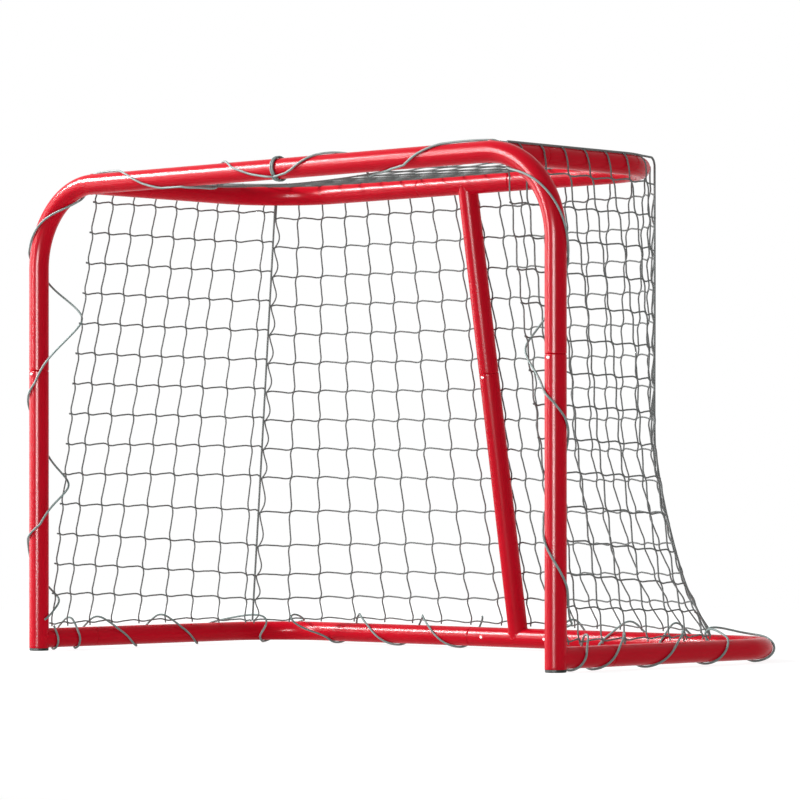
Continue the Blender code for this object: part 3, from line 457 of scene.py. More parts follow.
def cordage_tree():
    # Lines become round cords; a point whose knot value is not zero gets a knot of that size.
    tree = bpy.data.node_groups.new("cordage", "GeometryNodeTree")
    face = tree.interface
    face.new_socket("Geometry", in_out="INPUT", socket_type="NodeSocketGeometry")
    for name, kind in (("Radius", "NodeSocketFloat"), ("Sides", "NodeSocketInt"),
                       ("Finish", "NodeSocketMaterial")):
        face.new_socket(name, in_out="INPUT", socket_type=kind)
    face.new_socket("Geometry", in_out="OUTPUT", socket_type="NodeSocketGeometry")
    made = {}

    def add(label, kind, links=None, **settings):
        node = tree.nodes.new(kind)
        for name, value in settings.items():
            setattr(node, name, value)
        for name, value in (links or {}).items():
            if isinstance(value, tuple) and isinstance(value[0], str):
                tree.links.new(made[value[0]].outputs[value[1]], node.inputs[name])
            else:
                node.inputs[name].default_value = value
        made[label] = node

    add("in", "NodeGroupInput")
    add("line", "GeometryNodeMeshToCurve", {"Mesh": ("in", "Geometry")})
    add("line_at", "GeometryNodeSplineParameter")
    add("line_kept", "GeometryNodeCaptureAttribute", {"Geometry": ("line", 0)}, domain="POINT")
    made["line_kept"].capture_items.new("FLOAT", "along")
    tree.links.new(made["line_at"].outputs["Length"], made["line_kept"].inputs["along"])
    add("ring", "GeometryNodeCurvePrimitiveCircle",
        {"Radius": ("in", "Radius"), "Resolution": ("in", "Sides")})
    add("ring_at", "GeometryNodeSplineParameter")
    add("ring_kept", "GeometryNodeCaptureAttribute", {"Geometry": ("ring", 0)}, domain="POINT")
    made["ring_kept"].capture_items.new("FLOAT", "round")
    tree.links.new(made["ring_at"].outputs["Factor"], made["ring_kept"].inputs["round"])
    add("skin", "GeometryNodeCurveToMesh", {"Curve": ("line_kept", 0), "Profile Curve": ("ring_kept", 0),
                                            "Fill Caps": True})
    add("turn", "ShaderNodeMath", {0: ("ring_kept", "round"), 1: 2 * math.pi}, operation="MULTIPLY")
    add("cos", "ShaderNodeMath", {0: ("turn", 0)}, operation="COSINE")
    add("sin", "ShaderNodeMath", {0: ("turn", 0)}, operation="SINE")
    add("both", "ShaderNodeCombineXYZ", {"X": ("cos", 0), "Y": ("sin", 0), "Z": ("line_kept", "along")})
    add("laid", "GeometryNodeStoreNamedAttribute",
        {"Geometry": ("skin", 0), "Name": "lay", "Value": ("both", 0)},
        data_type="FLOAT_VECTOR", domain="POINT")
    add("knot", "GeometryNodeInputNamedAttribute", {"Name": "knot"}, data_type="FLOAT")
    add("is_knot", "FunctionNodeCompare", {0: ("knot", 0), 1: 0.00001}, data_type="FLOAT",
        operation="GREATER_THAN")
    add("ball", "GeometryNodeMeshUVSphere", {"Segments": 8, "Rings": 5, "Radius": 1.0})
    add("tilt", "FunctionNodeRandomValue", {"Min": (0, 0, 0), "Max": (6.28, 6.28, 6.28), "Seed": 4},
        data_type="FLOAT_VECTOR")
    add("squat", "FunctionNodeRandomValue", {"Min": (0.8, 0.8, 0.9), "Max": (1.0, 1.1, 1.3), "Seed": 9},
        data_type="FLOAT_VECTOR")
    add("size", "ShaderNodeVectorMath", {0: ("squat", 0), "Scale": ("knot", 0)}, operation="SCALE")
    add("knots", "GeometryNodeInstanceOnPoints", {"Points": ("in", "Geometry"), "Selection": ("is_knot", 0),
                                                  "Instance": ("ball", 0), "Rotation": ("tilt", 0),
                                                  "Scale": ("size", 0)})
    add("join", "GeometryNodeJoinGeometry", {"Geometry": ("laid", 0)})
    tree.links.new(made["knots"].outputs[0], made["join"].inputs[0])
    add("smooth", "GeometryNodeSetShadeSmooth", {"Geometry": ("join", 0)})
    add("real", "GeometryNodeRealizeInstances", {"Geometry": ("smooth", 0)})
    add("finish", "GeometryNodeSetMaterial", {"Geometry": ("real", 0), "Material": ("in", "Finish")})
    add("out", "NodeGroupOutput", {"Geometry": ("finish", 0)})
    return tree


cordage = cordage_tree()


def cord(name, lines, radius, sides, look, knots=()):
    # Lines of points, and loose points with a knot size each, made one mesh by the cordage tree.
    vertices, edges = [], []
    for line in lines:
        edges += [(len(vertices) + i, len(vertices) + i + 1) for i in range(len(line) - 1)]
        vertices += [tuple(p) for p in line]
    sizes = [0.0] * len(vertices) + [size for _, size in knots]
    vertices += [tuple(p) for p, _ in knots]
    mesh = bpy.data.meshes.new(name)
    mesh.from_pydata(vertices, edges, [])
    mesh.attributes.new("knot", "FLOAT", "POINT").data.foreach_set("value", sizes)
    made = bpy.data.objects.new(name, mesh)
    bpy.context.scene.collection.objects.link(made)
    modifier = made.modifiers.new("cordage", "NODES")
    modifier.node_group = cordage
    values = {"Radius": radius, "Sides": sides, "Finish": look}
    for item in cordage.interface.items_tree:
        if item.item_type == "SOCKET" and item.name in values:
            modifier[item.identifier] = values[item.name]
    bpy.context.view_layer.update()
    whole = bpy.data.meshes.new_from_object(made.evaluated_get(bpy.context.evaluated_depsgraph_get()))
    made.modifiers.clear()
    made.data = whole
    return made


def follow(points, fraction):
    # The point at a fraction of the length of a line through the points.
    points = [Vector(p) for p in points]
    lengths = [(b - a).length for a, b in zip(points, points[1:])]
    left = min(max(fraction, 0.0), 1.0) * sum(lengths)
    for a, b, length in zip(points, points[1:], lengths):
        if left <= length + 1e-9:
            return a.lerp(b, left / length)
        left -= length
    return points[-1]


def smooth(points, steps):
    # A smooth line through the points, with so many steps from each one to the next.
    points = [Vector(p) for p in points]
    path = []
    ends = [points[0] * 2 - points[1], *points, points[-1] * 2 - points[-2]]
    for a, b, c, d in zip(ends, ends[1:], ends[2:], ends[3:]):
        for i in range(steps):
            t = i / steps
            path.append(0.5 * ((2 * b) + (c - a) * t + (2 * a - 5 * b + 4 * c - d) * t**2
                               + (3 * b - a - 3 * c + d) * t**3))
    return path + [points[-1]]


def blend_edges(first, last, top, bottom, u, v):
    # A surface between four edge lines, each read as a fraction of its length.
    ruled = follow(first, v).lerp(follow(last, v), u) + follow(top, u).lerp(follow(bottom, u), v)
    high, low = Vector(top[0]).lerp(Vector(top[-1]), u), Vector(bottom[0]).lerp(Vector(bottom[-1]), u)
    return ruled - high.lerp(low, v)


def between(three, v):
    # A smooth course through three values: at the top, half way down and at the foot.
    top, middle, foot = three
    return top * (1 - v) * (1 - 2 * v) + middle * 4 * v * (1 - v) + foot * v * (2 * v - 1)


def slack(t):
    # Twine keeps the kink of its knots: it leaves a knot steeply and reaches the next one slowly.
    return math.sin(2 * math.pi * t) + 0.3 * math.sin(4 * math.pi * t)


# The net starts behind the crossbar and the posts, hangs clear of the tubes and ends above the base rails.
NET_Z = 0.052
TAIL = Vector((0, 0, -0.006))
HANG_CLEAR, ARC_CLEAR, BACK_CLEAR, BACK_ARC_CLEAR = 0.0007, 0.006, 0.0017, 0.0045
HANG = RADIUS + HALF + HANG_CLEAR
EDGE_BACK, FOOT_BACK, FOOT_STRAIGHT = 0.023, 0.033, 0.401
CORNER_TOP = Vector((0.492, 0.146, 0.900))
CORNER_FOOT = Vector((0.594, 0.1804, 0.048))
# The left corner is drawn tight. The right one hangs straight and swings out above the rail.
# Each pair is a height and how far the corner is on its way out to the foot.
LEAN = {
    -1: [(0.900, 0.0), (0.600, 0.35), (0.300, 0.70), (0.048, 1.0)],
    1: [(0.900, 0.0), (0.650, 0.0), (0.410, 0.0), (0.357, 0.05), (0.303, 0.14), (0.247, 0.26),
        (0.190, 0.405), (0.140, 0.56), (0.100, 0.74), (0.048, 1.0)],
}
# Where the edges of the net lie beside the corner rope.
BESIDE_ROPE = Vector((0.0020, -0.0024, 0))
FRONT_TOP = Vector((TOP_X + HANG, FRONT_Y + EDGE_BACK, BAR_Z + 0.003))
FRONT_FOOT = Vector((POST_X, FRONT_Y + FOOT_BACK, NET_Z))
# How far the front edge of a side hangs behind the posts, at the top, half way and at the foot.
FRONT_BACK = {-1: (0.036, 0.029, FOOT_BACK), 1: (0.018, 0.017, FOOT_BACK)}
FRONT_STEPS = 12
# The ropes lie on top of the rails, a little to the outside.
rope_reach = RADIUS + CORD + 0.0003
rope_up = math.radians(66)
rope_out = rope_reach * math.cos(rope_up)
rope_z = BAR_Z + rope_reach * math.sin(rope_up)


def mirror(points, side):
    return [Vector((side * p.x, p.y, p.z)) for p in points]


def corner_line(side):
    line = [CORNER_TOP.lerp(CORNER_FOOT, share) for _, share in LEAN[side]]
    return smooth([Vector((p.x, p.y, z)) for p, (z, _) in zip(line, LEAN[side])], 6)


def front_line(side):
    line = []
    for k in range(FRONT_STEPS + 1):
        here = FRONT_TOP.lerp(FRONT_FOOT, k / FRONT_STEPS)
        here.y = FRONT_Y + between(FRONT_BACK[side], k / FRONT_STEPS)
        line.append(here)
    return line


def over_rail(spot, outward, hang, steps=6):
    # From the rope on the rail's top, over the rail's round to where the strand hangs free.
    way = Vector((outward[0], outward[1], 0)).normalized()
    off = (hang - spot).dot(way)
    path = []
    for i in range(steps):
        t = i / steps
        a = rope_up * (1 - t)
        reach = (RADIUS + HALF + 0.0004) * (1 - t) + off * t
        path.append(Vector((spot.x, spot.y, BAR_Z)) + way * reach * math.cos(a)
                    + Vector((hang.x - spot.x - way.x * off, hang.y - spot.y - way.y * off, 0)) * t
                    + Vector((0, 0, reach * math.sin(a))))
    return path


def wobble(u, v, seed):
    # An uneven course between -1 and 1, the same in every run.
    return math.sin(11.3 * u + 7.9 * v + seed) * 0.6 + math.sin(23.1 * u - 17.7 * v + 2.1 * seed) * 0.4


SLIP, SLIP_FROM, SLIP_OVER = 0.03, 0.68, 0.32


def slip(v):
    # Rows have slid down the corner a little above the foot.
    return v + SLIP * math.sin(math.pi * max(0.0, v - SLIP_FROM) / SLIP_OVER)


def rows(first):
    # The rows as shares of the way down: the first just under the rail, the last at the foot.
    return [first + (1 - first) * j / (ROWS - 1) for j in range(ROWS)]


ROWS, STEPS, KNOT = 15, 10, 0.0021
# How far a strand strays: kinked at its knots, arched between them and drifting.
COLUMN_KINK, ROW_KINK, BACK_KINK, ARCH, DRIFT = 0.0023, 0.0017, 0.0025, 0.0010, 0.0010
# How far the rows reach past the first column towards the post.
TIP = {-1: 0.005, 1: 0.003}
side_rows, back_rows = rows(0.0408), rows(0.0575)
# Where columns hang, as shares of the way from the front edge to the corner at the top, half way and
# at the foot. Those between them are evenly spaced. The right side has one column less.
SIDE_COLUMNS = {
    -1: {0: (0.0, 0.0, 0.0), 1: (0.0945, 0.0925, 0.083), 3: (0.349, 0.338, 0.319), 6: (0.727, 0.722, 0.757),
         8: (0.960, 0.960, 0.978), 9: (1.0, 1.0, 1.0)},
    1: {0: (0.0, 0.0, 0.0), 1: (0.096, 0.105, 0.060), 5: (0.592, 0.682, 0.550), 7: (0.815, 0.860, 0.735),
        8: (1.0, 1.0, 1.0)},
}


def column(keys, i, v):
    low = max(k for k in keys if k <= i)
    high = min(k for k in keys if k >= i)
    share = (i - low) / max(1, high - low)
    return between(keys[low], v) * (1 - share) + between(keys[high], v) * share


def stretches(marks):
    # The steps of a strand from 0 through its marks: which stretch, how far along it, and the value there.
    last = 0.0
    for n, mark in enumerate(marks):
        for k in range(STEPS):
            t = k / STEPS
            yield n, t, last + (mark - last) * t
        last = mark


for side, word in ((-1, "left"), (1, "right")):
    edge = [p + BESIDE_ROPE for p in corner_line(side)]
    front = front_line(side)
    centre = Vector((TOP_X - TOP_BEND, TOP_Y - TOP_BEND, FRONT_TOP.z))
    top = [front[0], Vector((FRONT_TOP.x, centre.y, FRONT_TOP.z))]
    for turn in (6, 12, 18, 24):
        a = math.radians(turn)
        reach = TOP_BEND + HANG + ARC_CLEAR * min(1, turn / 12)
        top.append(centre + reach * Vector((math.cos(a), math.sin(a), 0)))
    top.append(edge[0])
    foot = [front[-1], Vector((POST_X, FRONT_Y + FOOT_STRAIGHT, NET_Z)), edge[-1]]

    def side_at(u, v):
        return blend_edges(front, edge, top, foot, u, v + (slip(v) - v) * u)

    keys = SIDE_COLUMNS[side]
    count = max(keys) - 1
    lines, knots = [], []
    for i in range(count + 1):
        line = []
        hang = side_at(column(keys, i, 0), 0)
        if i:
            if hang.y < centre.y:
                spot, out = Vector((TOP_X, hang.y, 0)), (1, 0)
            else:
                way = Vector((hang.x - centre.x, hang.y - centre.y)).normalized()
                spot, out = centre + Vector((way.x, way.y, 0)) * TOP_BEND, way
            line += over_rail(spot, out, hang)
        for j, t, v in stretches(side_rows):
            shift = COLUMN_KINK * slack(t) * (1.0 if j else t) + DRIFT * wobble(i / 8, v, 1.0 + side)
            line.append(side_at(column(keys, i, v), v) + Vector((0, shift, 0)))
        line.append(side_at(column(keys, i, 1.0), 1.0))
        line.append(line[-1] + TAIL)
        lines.append(mirror(line, side))
    for v in side_rows:
        tip = side_at(0.0, v) + Vector((0, -TIP[side], 0.0006))
        line = [tip]
        knots.append((mirror([tip], side)[0], KNOT))
        for i, t, u in stretches(column(keys, i, v) for i in range(1, count + 2)):
            low = 0.4 if i == count else 1.0
            lift = low * (ARCH * math.sin(math.pi * t) - ROW_KINK * slack(t))
            lift += DRIFT * wobble(i / 8, v, 5.0 + side)
            line.append(side_at(u, v) + Vector((0, 0, lift)))
            if t == 0:
                knots.append((mirror([side_at(u, v)], side)[0], KNOT))
        line.append(side_at(1.0, v))
        knots.append((mirror([line[-1]], side)[0], KNOT))
        lines.append(mirror(line, side))
    on_frame(cord(f"side_twine_{word}", lines, HALF, 8, twine_look, knots), "twine", f"side_net_{word}")

# Back of the net: over the rear rail, down behind the strut and along above the base rail.
# Its first and last columns are knotted to the corner ropes and bulge between the knots.
back_edge = {}
for side in (-1, 1):
    beside = Vector((BESIDE_ROPE.y, BESIDE_ROPE.x, 0))
    back_edge[side] = mirror([p + beside for p in corner_line(side)], side)
rail_back = TOP_Y + RADIUS + HALF + BACK_CLEAR
centre = Vector((TOP_X - TOP_BEND, TOP_Y - TOP_BEND, back_edge[1][0].z))
reach = TOP_BEND + RADIUS + HALF + BACK_ARC_CLEAR
half_top = [Vector((0, rail_back, centre.z)), Vector((0.317, rail_back, centre.z))]
half_top.append(centre + reach * Vector((math.sin(math.radians(16)), math.cos(math.radians(16)), 0)))
half_top.append(back_edge[1][0])
top_line = mirror(reversed(half_top[1:]), -1) + half_top
half_foot = [Vector((x, REAR_Y + y, NET_Z)) for x, y in
             ((0.0, 0.0172), (0.05, 0.0165), (0.164, 0.007), (0.274, 0.002), (0.383, 0.0), (0.492, -0.023))]
half_foot.append(back_edge[1][-1])
foot_line = mirror(reversed(half_foot[1:]), -1) + half_foot
top_line[0], foot_line[0] = back_edge[-1][0], back_edge[-1][-1]
STRUT_BACK = RADIUS / STRUT_WAY.z + HALF + HANG_CLEAR
STRUT_FLAT, STRUT_FALL = 0.012, 0.35


def back_at(u, v):
    # The net lies on the back of the strut and falls away to both sides of it.
    here = blend_edges(back_edge[-1], back_edge[1], top_line, foot_line, u, slip(v) * (1 - u) + v * u)
    strut_y = STRUT_HEAD.y + (STRUT_HEAD.z - here.z) * -STRUT_WAY.y / STRUT_WAY.z
    here.y = max(here.y, strut_y + STRUT_BACK - STRUT_FALL * max(0.0, abs(here.x) - STRUT_FLAT))
    return here


# Where its columns hang, as shares of the way from the left corner to the right one.
BACK_COLUMNS = {
    0: (0.0, 0.0, 0.0), 1: (0.0455, 0.0505, 0.055), 2: (0.094, 0.100, 0.105), 9: (0.500, 0.532, 0.512),
    13: (0.726, 0.709, 0.697), 17: (0.955, 0.862, 0.863), 18: (0.978, 0.932, 0.932), 19: (1.0, 1.0, 1.0),
}
BACK_CELLS = 19
BULGE = {0: 0.013, BACK_CELLS: -0.006}

lines, knots = [], []
for i in range(BACK_CELLS + 1):
    hang = back_at(column(BACK_COLUMNS, i, 0), 0)
    line = []
    if 0 < i < BACK_CELLS:
        if abs(hang.x) < centre.x:
            spot, out = Vector((hang.x, TOP_Y, 0)), (0, 1)
        else:
            here = Vector((math.copysign(centre.x, hang.x), centre.y, 0))
            way = Vector((hang.x - here.x, hang.y - here.y)).normalized()
            spot, out = here + Vector((way.x, way.y, 0)) * TOP_BEND, way
        line += over_rail(spot, out, hang)
    for j, t, v in stretches(back_rows):
        shift = -BACK_KINK * slack(t) * (1.0 if j else t) + DRIFT * wobble(i / 9, v, 3.0)
        if i in BULGE:
            shift = BULGE[i] * math.sin(math.pi * t**1.6) * (1.0 if j else 0.0)
        line.append(back_at(column(BACK_COLUMNS, i, v), v) + Vector((shift, 0, 0)))
    line.append(back_at(column(BACK_COLUMNS, i, 1.0), 1.0))
    line.append(line[-1] + TAIL)
    lines.append(line)
for v in back_rows:
    line = []
    for i, t, u in stretches(column(BACK_COLUMNS, i, v) for i in range(1, BACK_CELLS + 1)):
        lift = ROW_KINK * slack(t) + ARCH * math.sin(math.pi * t) + DRIFT * wobble(i / 9, v, 8.0)
        line.append(back_at(u, v) + Vector((0, 0, lift)))
        if t == 0:
            knots.append((back_at(u, v), KNOT))
    line.append(back_at(1.0, v))
    knots.append((line[-1], KNOT))
    lines.append(line)
on_frame(cord("back_twine", lines, HALF, 8, twine_look, knots), "twine", "back_net")

# Top of the net: the same twine, drawn over the side rails and the rear rail and tied to their ropes.
# Its front edge is held only at both ends and sags behind the crossbar.
TOP_EDGE_Z, TOP_EDGE_OUT, TOP_SAG, SAG_STEPS = 0.9135, 0.004, 0.0455, 24
TOP_COLUMN_KINK, TOP_ROW_KINK, TOP_DRIFT = 0.0024, 0.0020, 0.0012
edge_x, edge_bend = TOP_X + TOP_EDGE_OUT, TOP_BEND + TOP_EDGE_OUT
centre = Vector((TOP_X - TOP_BEND, TOP_Y - TOP_BEND, TOP_EDGE_Z))
front_y = FRONT_Y + EDGE_BACK
side_line = [Vector((edge_x, front_y, TOP_EDGE_Z)), centre + Vector((edge_bend, 0, 0))]
rear_line = [Vector((0, TOP_Y + TOP_EDGE_OUT, TOP_EDGE_Z)), centre + Vector((0, edge_bend, 0))]
for turn in (9, 18, 27, 36, 45):
    a = math.radians(turn)
    side_line.append(centre + edge_bend * Vector((math.cos(a), math.sin(a), 0)))
    rear_line.append(centre + edge_bend * Vector((math.sin(a), math.cos(a), 0)))
rear_full = mirror(reversed(rear_line[1:]), -1) + rear_line
front_full = []
for k in range(-SAG_STEPS, SAG_STEPS + 1):
    x = edge_x * k / SAG_STEPS
    front_full.append(Vector((x, front_y, TOP_EDGE_Z - TOP_SAG * (1 - (x / edge_x) ** 2))))
side_left = mirror(side_line, -1)


def top_at(u, v):
    return blend_edges(side_left, side_line, front_full, rear_full, u, v)


TOP_COLUMNS, TOP_ROWS = 18, 9
lines, knots = [], []
for i in range(TOP_COLUMNS + 1):
    u = i / TOP_COLUMNS
    line = []
    for n in range(TOP_ROWS * STEPS + 1):
        v, t = n / (TOP_ROWS * STEPS), (n % STEPS) / STEPS
        shift = (TOP_COLUMN_KINK * slack(t) + TOP_DRIFT * wobble(u * 2, v, 6.0)) * (0 < i < TOP_COLUMNS)
        line.append(top_at(u, v) + Vector((shift, 0, 0)))
    lines.append(line)
for j in range(TOP_ROWS + 1):
    v = j / TOP_ROWS
    line = []
    for n in range(TOP_COLUMNS * STEPS + 1):
        u, t = n / (TOP_COLUMNS * STEPS), (n % STEPS) / STEPS
        shift = (TOP_ROW_KINK * slack(t) + TOP_DRIFT * wobble(u * 2, v, 9.0)) * (0 < j < TOP_ROWS)
        line.append(top_at(u, v) + Vector((0, shift, 0)))
        if n % STEPS == 0:
            knots.append((top_at(u, v), KNOT))
    lines.append(line)
on_frame(cord("top_twine", lines, HALF, 8, twine_look, knots), "twine", "top_net")

# Ropes: 4 mm braided cord sewn along the net's folds, over each side rail and down the corner,
# and along the rear rail. The net's rows are knotted to them.
rope_look = cord_look("rope", (0.15, 0.165, 0.160), (0.24, 0.26, 0.253), 4, 1500, 0.6, 0.1)
ROPE_TURN, ROPE_BACK = 0.017, 0.036
for side, word in ((-1, "left"), (1, "right")):
    centre = Vector((TOP_X - TOP_BEND, TOP_Y - TOP_BEND, rope_z))
    over = [Vector((TOP_X + rope_out, y, rope_z))
            for y in (FRONT_Y + ROPE_BACK, STUB_Y, 0.5 * centre.y, centre.y)]
    for turn in (8, 16, 24):
        a = math.radians(turn)
        over.append(centre + (TOP_BEND + rope_out) * Vector((math.cos(a), math.sin(a), 0)))
    way = Vector((CORNER_TOP.x - over[-1].x, CORNER_TOP.y - over[-1].y, 0)).normalized()
    for turn in range(0, 91, 15):
        a = math.radians(turn)
        here = CORNER_TOP - way * ROPE_TURN * (1 - math.sin(a))
        over.append(Vector((here.x, here.y, rope_z - ROPE_TURN * (1 - math.cos(a)))))
    drop = [p for p in corner_line(side) if p.z < rope_z - ROPE_TURN - 0.004]
    rope = cord(f"rope_corner_{word}", [mirror(smooth(over + drop, 4), side)], CORD, 12, rope_look)
    on_frame(rope, "cord", f"corner_rope_{word}")
half = [Vector((0, TOP_Y + rope_out, rope_z)), Vector((0.18, TOP_Y + rope_out, rope_z))]
for turn in range(0, 35, 4):
    a = math.radians(turn)
    half.append(centre + (TOP_BEND + rope_out) * Vector((math.sin(a), math.cos(a), 0)))
rear = mirror(reversed(half[1:]), -1) + half
on_frame(cord("rope_rear", [smooth(rear, 4)], CORD, 12, rope_look), "cord", "rear_rope")


# Lacing: 4 mm braided cord that holds the net to the frame. It is led round a tube, over the net's
# edge strand and on to the next turn. Each key is metres along the tube and degrees round it.
class Run:
    """A tube along which a cord is led, and the line of the net's edge beside it."""

    def __init__(self, line, outward, across, border, bare=(0.0, 0.0)):
        self.bare = bare
        self.line = [Vector(p) for p in line]
        self.outward = [Vector(o) for o in outward]
        self.across = Vector(across)
        self.border = [Vector(p) for p in border]
        self.at = [0.0]
        for a, b in zip(self.line, self.line[1:]):
            self.at.append(self.at[-1] + (b - a).length)

    def place(self, s):
        # The point on the tube's axis at a length along it, and which way is outward there.
        s = min(max(s, 0.0), self.at[-1])
        k = max(i for i in range(len(self.at) - 1) if self.at[i] <= s + 1e-9)
        t = (s - self.at[k]) / (self.at[k + 1] - self.at[k])
        outward = self.outward[k].lerp(self.outward[k + 1], t)
        return self.line[k].lerp(self.line[k + 1], t), outward.normalized()

    def edge(self, s):
        # Where the edge strand is, outward and across from the axis, and how squarely it passes there.
        if self.bare[0] < s < self.bare[1]:
            return 0.0, 0.0, 1.0
        centre, out = self.place(s)
        way = out.cross(self.across)
        best, square = None, 1.0
        for a, b in zip(self.border, self.border[1:]):
            da, db = (a - centre).dot(way), (b - centre).dot(way)
            if da * db > 0 or da == db:
                continue
            hit = a.lerp(b, da / (da - db)) - centre
            if best is None or hit.length < best.length:
                best, square = hit, abs((b - a).normalized().dot(way))
        if best is None:
            best = min((self.border[0], self.border[-1]), key=lambda p: (p - centre).length) - centre
        return best.dot(out), best.dot(self.across), max(square, 0.4)


def belt(angle, edge, big, small):
    # How far from the tube's axis a cord lies that is drawn round the tube and the edge strand.
    small = small / edge[2]
    span, lean = math.hypot(*edge[:2]), math.atan2(edge[1], edge[0])
    off = (angle - lean + math.pi) % (2 * math.pi) - math.pi
    if span + small <= big:
        return big
    tangent = math.acos(min(1.0, (big - small) / span))
    if abs(off) >= tangent:
        return big
    straight = big / math.cos(tangent - abs(off))
    rest = small**2 - (span * math.sin(off)) ** 2
    return straight if rest < 0 else min(straight, span * math.cos(off) + math.sqrt(rest))


# The turns' radius round the tube, their two radii round the edge strand, and how often a line is eased.
BIG, CLOSE, LOOSE, EASE = RADIUS + CORD + 0.0006, 0.0048, 0.0115, 24


def wind(run, keys, fine=180, snug=0.0):
    # Along the first metres, as many as snug says, the cord goes close round the net's edge strand, and
    # beyond them in a wider turn. Where it stands off the tube its line is eased, as a stiff cord bends.
    path, free = [], []
    for (s0, a0), (s1, a1) in zip(keys, keys[1:]):
        count = max(4, int(abs(a1 - a0) / 360 * fine))
        share = [i / count for i in range(count + 1)]
        for _ in range(3):
            points, loose = [], []
            for i, part in enumerate(share):
                s = s0 + (s1 - s0) * part
                angle = math.radians(a0 + (a1 - a0) * i / count)
                centre, out = run.place(s)
                r = belt(angle, run.edge(s), BIG, LOOSE if s > snug else CLOSE)
                loose.append(0.5 if r > BIG + 0.0004 else 0.0)
                points.append(centre + r * (out * math.cos(angle) + run.across * math.sin(angle)))
            lengths = [0.0]
            for a, b in zip(points, points[1:]):
                lengths.append(lengths[-1] + (b - a).length)
            share = [length / lengths[-1] for length in lengths]
        path += points if not path else points[1:]
        free += loose if not free else loose[1:]
    path, free = np.array([tuple(p) for p in path]), np.array(free)[1:-1, None]
    for _ in range(EASE):
        path[1:-1] += free * (0.5 * (path[:-2] + path[2:]) - path[1:-1])
    return [Vector(p) for p in path]


LEFT_BASE = [
    (0.026, 120), (0.036, 270), (0.078, 450), (0.092, 630), (0.150, 810), (0.255, 990), (0.320, 1170),
    (0.421, 1350), (0.478, 1530), (0.590, 1710), (0.676, 1890), (0.764, 2070), (0.821, 2250), (0.935, 2430),
    (1.001, 2610), (1.104, 2790), (1.150, 2950),
]
RIGHT_BASE = [
    (0.026, 120), (0.035, 270), (0.080, 450), (0.094, 630), (0.180, 810), (0.234, 990), (0.340, 1170),
    (0.400, 1350), (0.462, 1530), (0.545, 1710), (0.665, 1890), (0.800, 2070), (0.860, 2250), (0.905, 2430),
    (0.981, 2610), (1.066, 2790), (1.139, 2970), (1.150, 3050),
]
lace_look = cord_look("lacing", (0.17, 0.235, 0.225), (0.28, 0.365, 0.35), 4, 1500, 0.5, 0.12)
for side, word, keys in ((-1, "left", LEFT_BASE), (1, "right", RIGHT_BASE)):
    centre = (side * (POST_X - BASE_BEND), REAR_Y - BASE_BEND, BASE_Z)
    corner = bend(centre, (side, 0, 0), (0, 1, 0), BASE_BEND)
    line = [(side * POST_X, FRONT_Y, BASE_Z), *corner, (0, REAR_Y, BASE_Z)]
    outward = [Vector((side, 0, 0))]
    for i in range(BEND_STEPS + 1):
        a = math.pi / 2 * i / BEND_STEPS
        outward.append(Vector((side * math.cos(a), math.sin(a), 0)))
    outward.append(Vector((0, 1, 0)))
    edge = CORNER_FOOT + BESIDE_ROPE
    border = [FRONT_FOOT, Vector((POST_X, FRONT_Y + FOOT_STRAIGHT, NET_Z)), edge, *reversed(half_foot)]
    border = mirror(border, side)
    run = Run(line, outward, (0, 0, 1), border)
    lace = cord(f"lace_base_{word}", [wind(run, keys)], CORD, 12, lace_look)
    on_frame(lace, "cord", f"base_lacing_{word}")

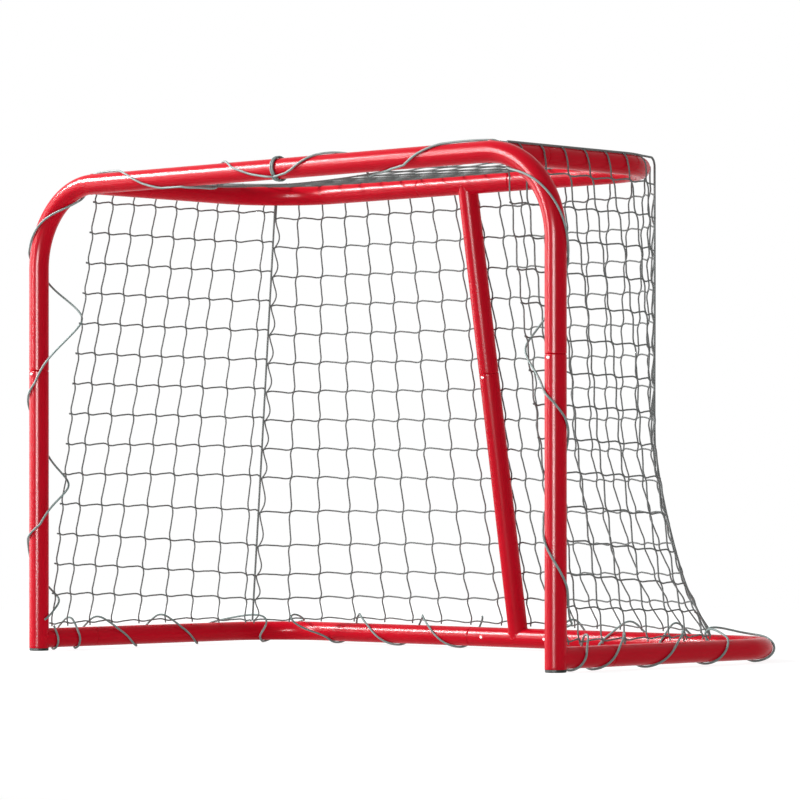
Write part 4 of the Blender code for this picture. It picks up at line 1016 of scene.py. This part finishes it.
LEFT_TOP = [
    (0.020, 228), (0.060, 250), (0.108, 291), (0.142, 350), (0.165, 385), (0.200, 500), (0.254, 566),
    (0.308, 568), (0.350, 606), (0.430, 700), (0.482, 725), (0.520, 742), (0.546, 800), (0.569, 880),
    (0.724, 1036), (0.779, 1167), (0.862, 1245), (0.977, 1325), (1.011, 1396), (1.040, 1446), (1.109, 1518),
    (1.179, 1587), (1.250, 1656), (1.282, 1756), (1.338, 1812), (1.421, 1936), (1.434, 1990),
]
RIGHT_TOP = [
    (0.028, 237), (0.050, 258), (0.101, 332), (0.135, 365), (0.165, 395), (0.205, 500), (0.289, 573),
    (0.325, 591), (0.362, 642), (0.410, 694), (0.469, 718), (0.516, 738), (0.545, 800), (0.563, 900),
    (0.779, 1124), (0.820, 1164), (0.923, 1241), (1.014, 1320), (1.035, 1381), (1.061, 1437), (1.088, 1484),
    (1.112, 1512), (1.213, 1580), (1.245, 1647), (1.311, 1754), (1.352, 1818), (1.406, 1862), (1.430, 1960),
]
# Between these lengths the cord passes the bend, where there is no edge to catch.
BARE = (0.49, 0.70)
lead = {}
for side, keys in ((-1, LEFT_TOP), (1, RIGHT_TOP)):
    turn = frame_right if side > 0 else list(reversed(frame_left))
    line = [Vector((0, FRONT_Y, BAR_Z)), *turn, Vector((side * POST_X, FRONT_Y, 0))]
    outward = [Vector((0, 0, 1))]
    for i in range(BEND_STEPS + 1):
        a = math.pi / 2 * i / BEND_STEPS
        outward.append(Vector((side * math.sin(a), 0, math.cos(a))))
    outward.append(Vector((side, 0, 0)))
    half = front_full[SAG_STEPS:] if side > 0 else list(reversed(front_full[:SAG_STEPS + 1]))
    border = [half[0], *half, *mirror(front_line(side), side)]
    run = Run(line, outward, (0, 1, 0), border, bare=BARE)
    lead[side] = wind(run, keys, snug=BARE[0])

# The middle of the top cord is doubled over the bar in a hitch, and both halves leave from below it.
HITCH_X, HITCH_HALF, HITCH_LEAN, HITCH_RISE = 0.001, 0.0022, 0.006, 0.0042
HITCH_FROM, HITCH_ROUND = 232, 380


def bar_point(x, angle, r):
    a = math.radians(angle)
    return Vector((x, FRONT_Y + r * math.sin(a), BAR_Z + r * math.cos(a)))


turns = {}
for side in (-1, 1):
    coil = []
    for i in range(121):
        t = i / 120
        lean = HITCH_LEAN * math.sin(math.pi * t)
        rise = HITCH_RISE * max(0.0, 1 - 9 * t)
        coil.append(bar_point(HITCH_X + side * HITCH_HALF - lean, HITCH_FROM - HITCH_ROUND * t, BIG + rise))
    turns[side] = coil
bight = []
for turn in range(-75, 90, 15):
    a = math.radians(turn)
    end = HITCH_FROM - HITCH_ROUND - 4 * math.cos(a)
    bight.append(bar_point(HITCH_X + HITCH_HALF * math.sin(a), end, BIG))
whole = list(reversed(lead[-1]))[:-1] + turns[-1] + bight + list(reversed(turns[1])) + lead[1][1:]
on_frame(cord("lace_top", [whole], CORD, 12, lace_look), "cord", "top_lacing")
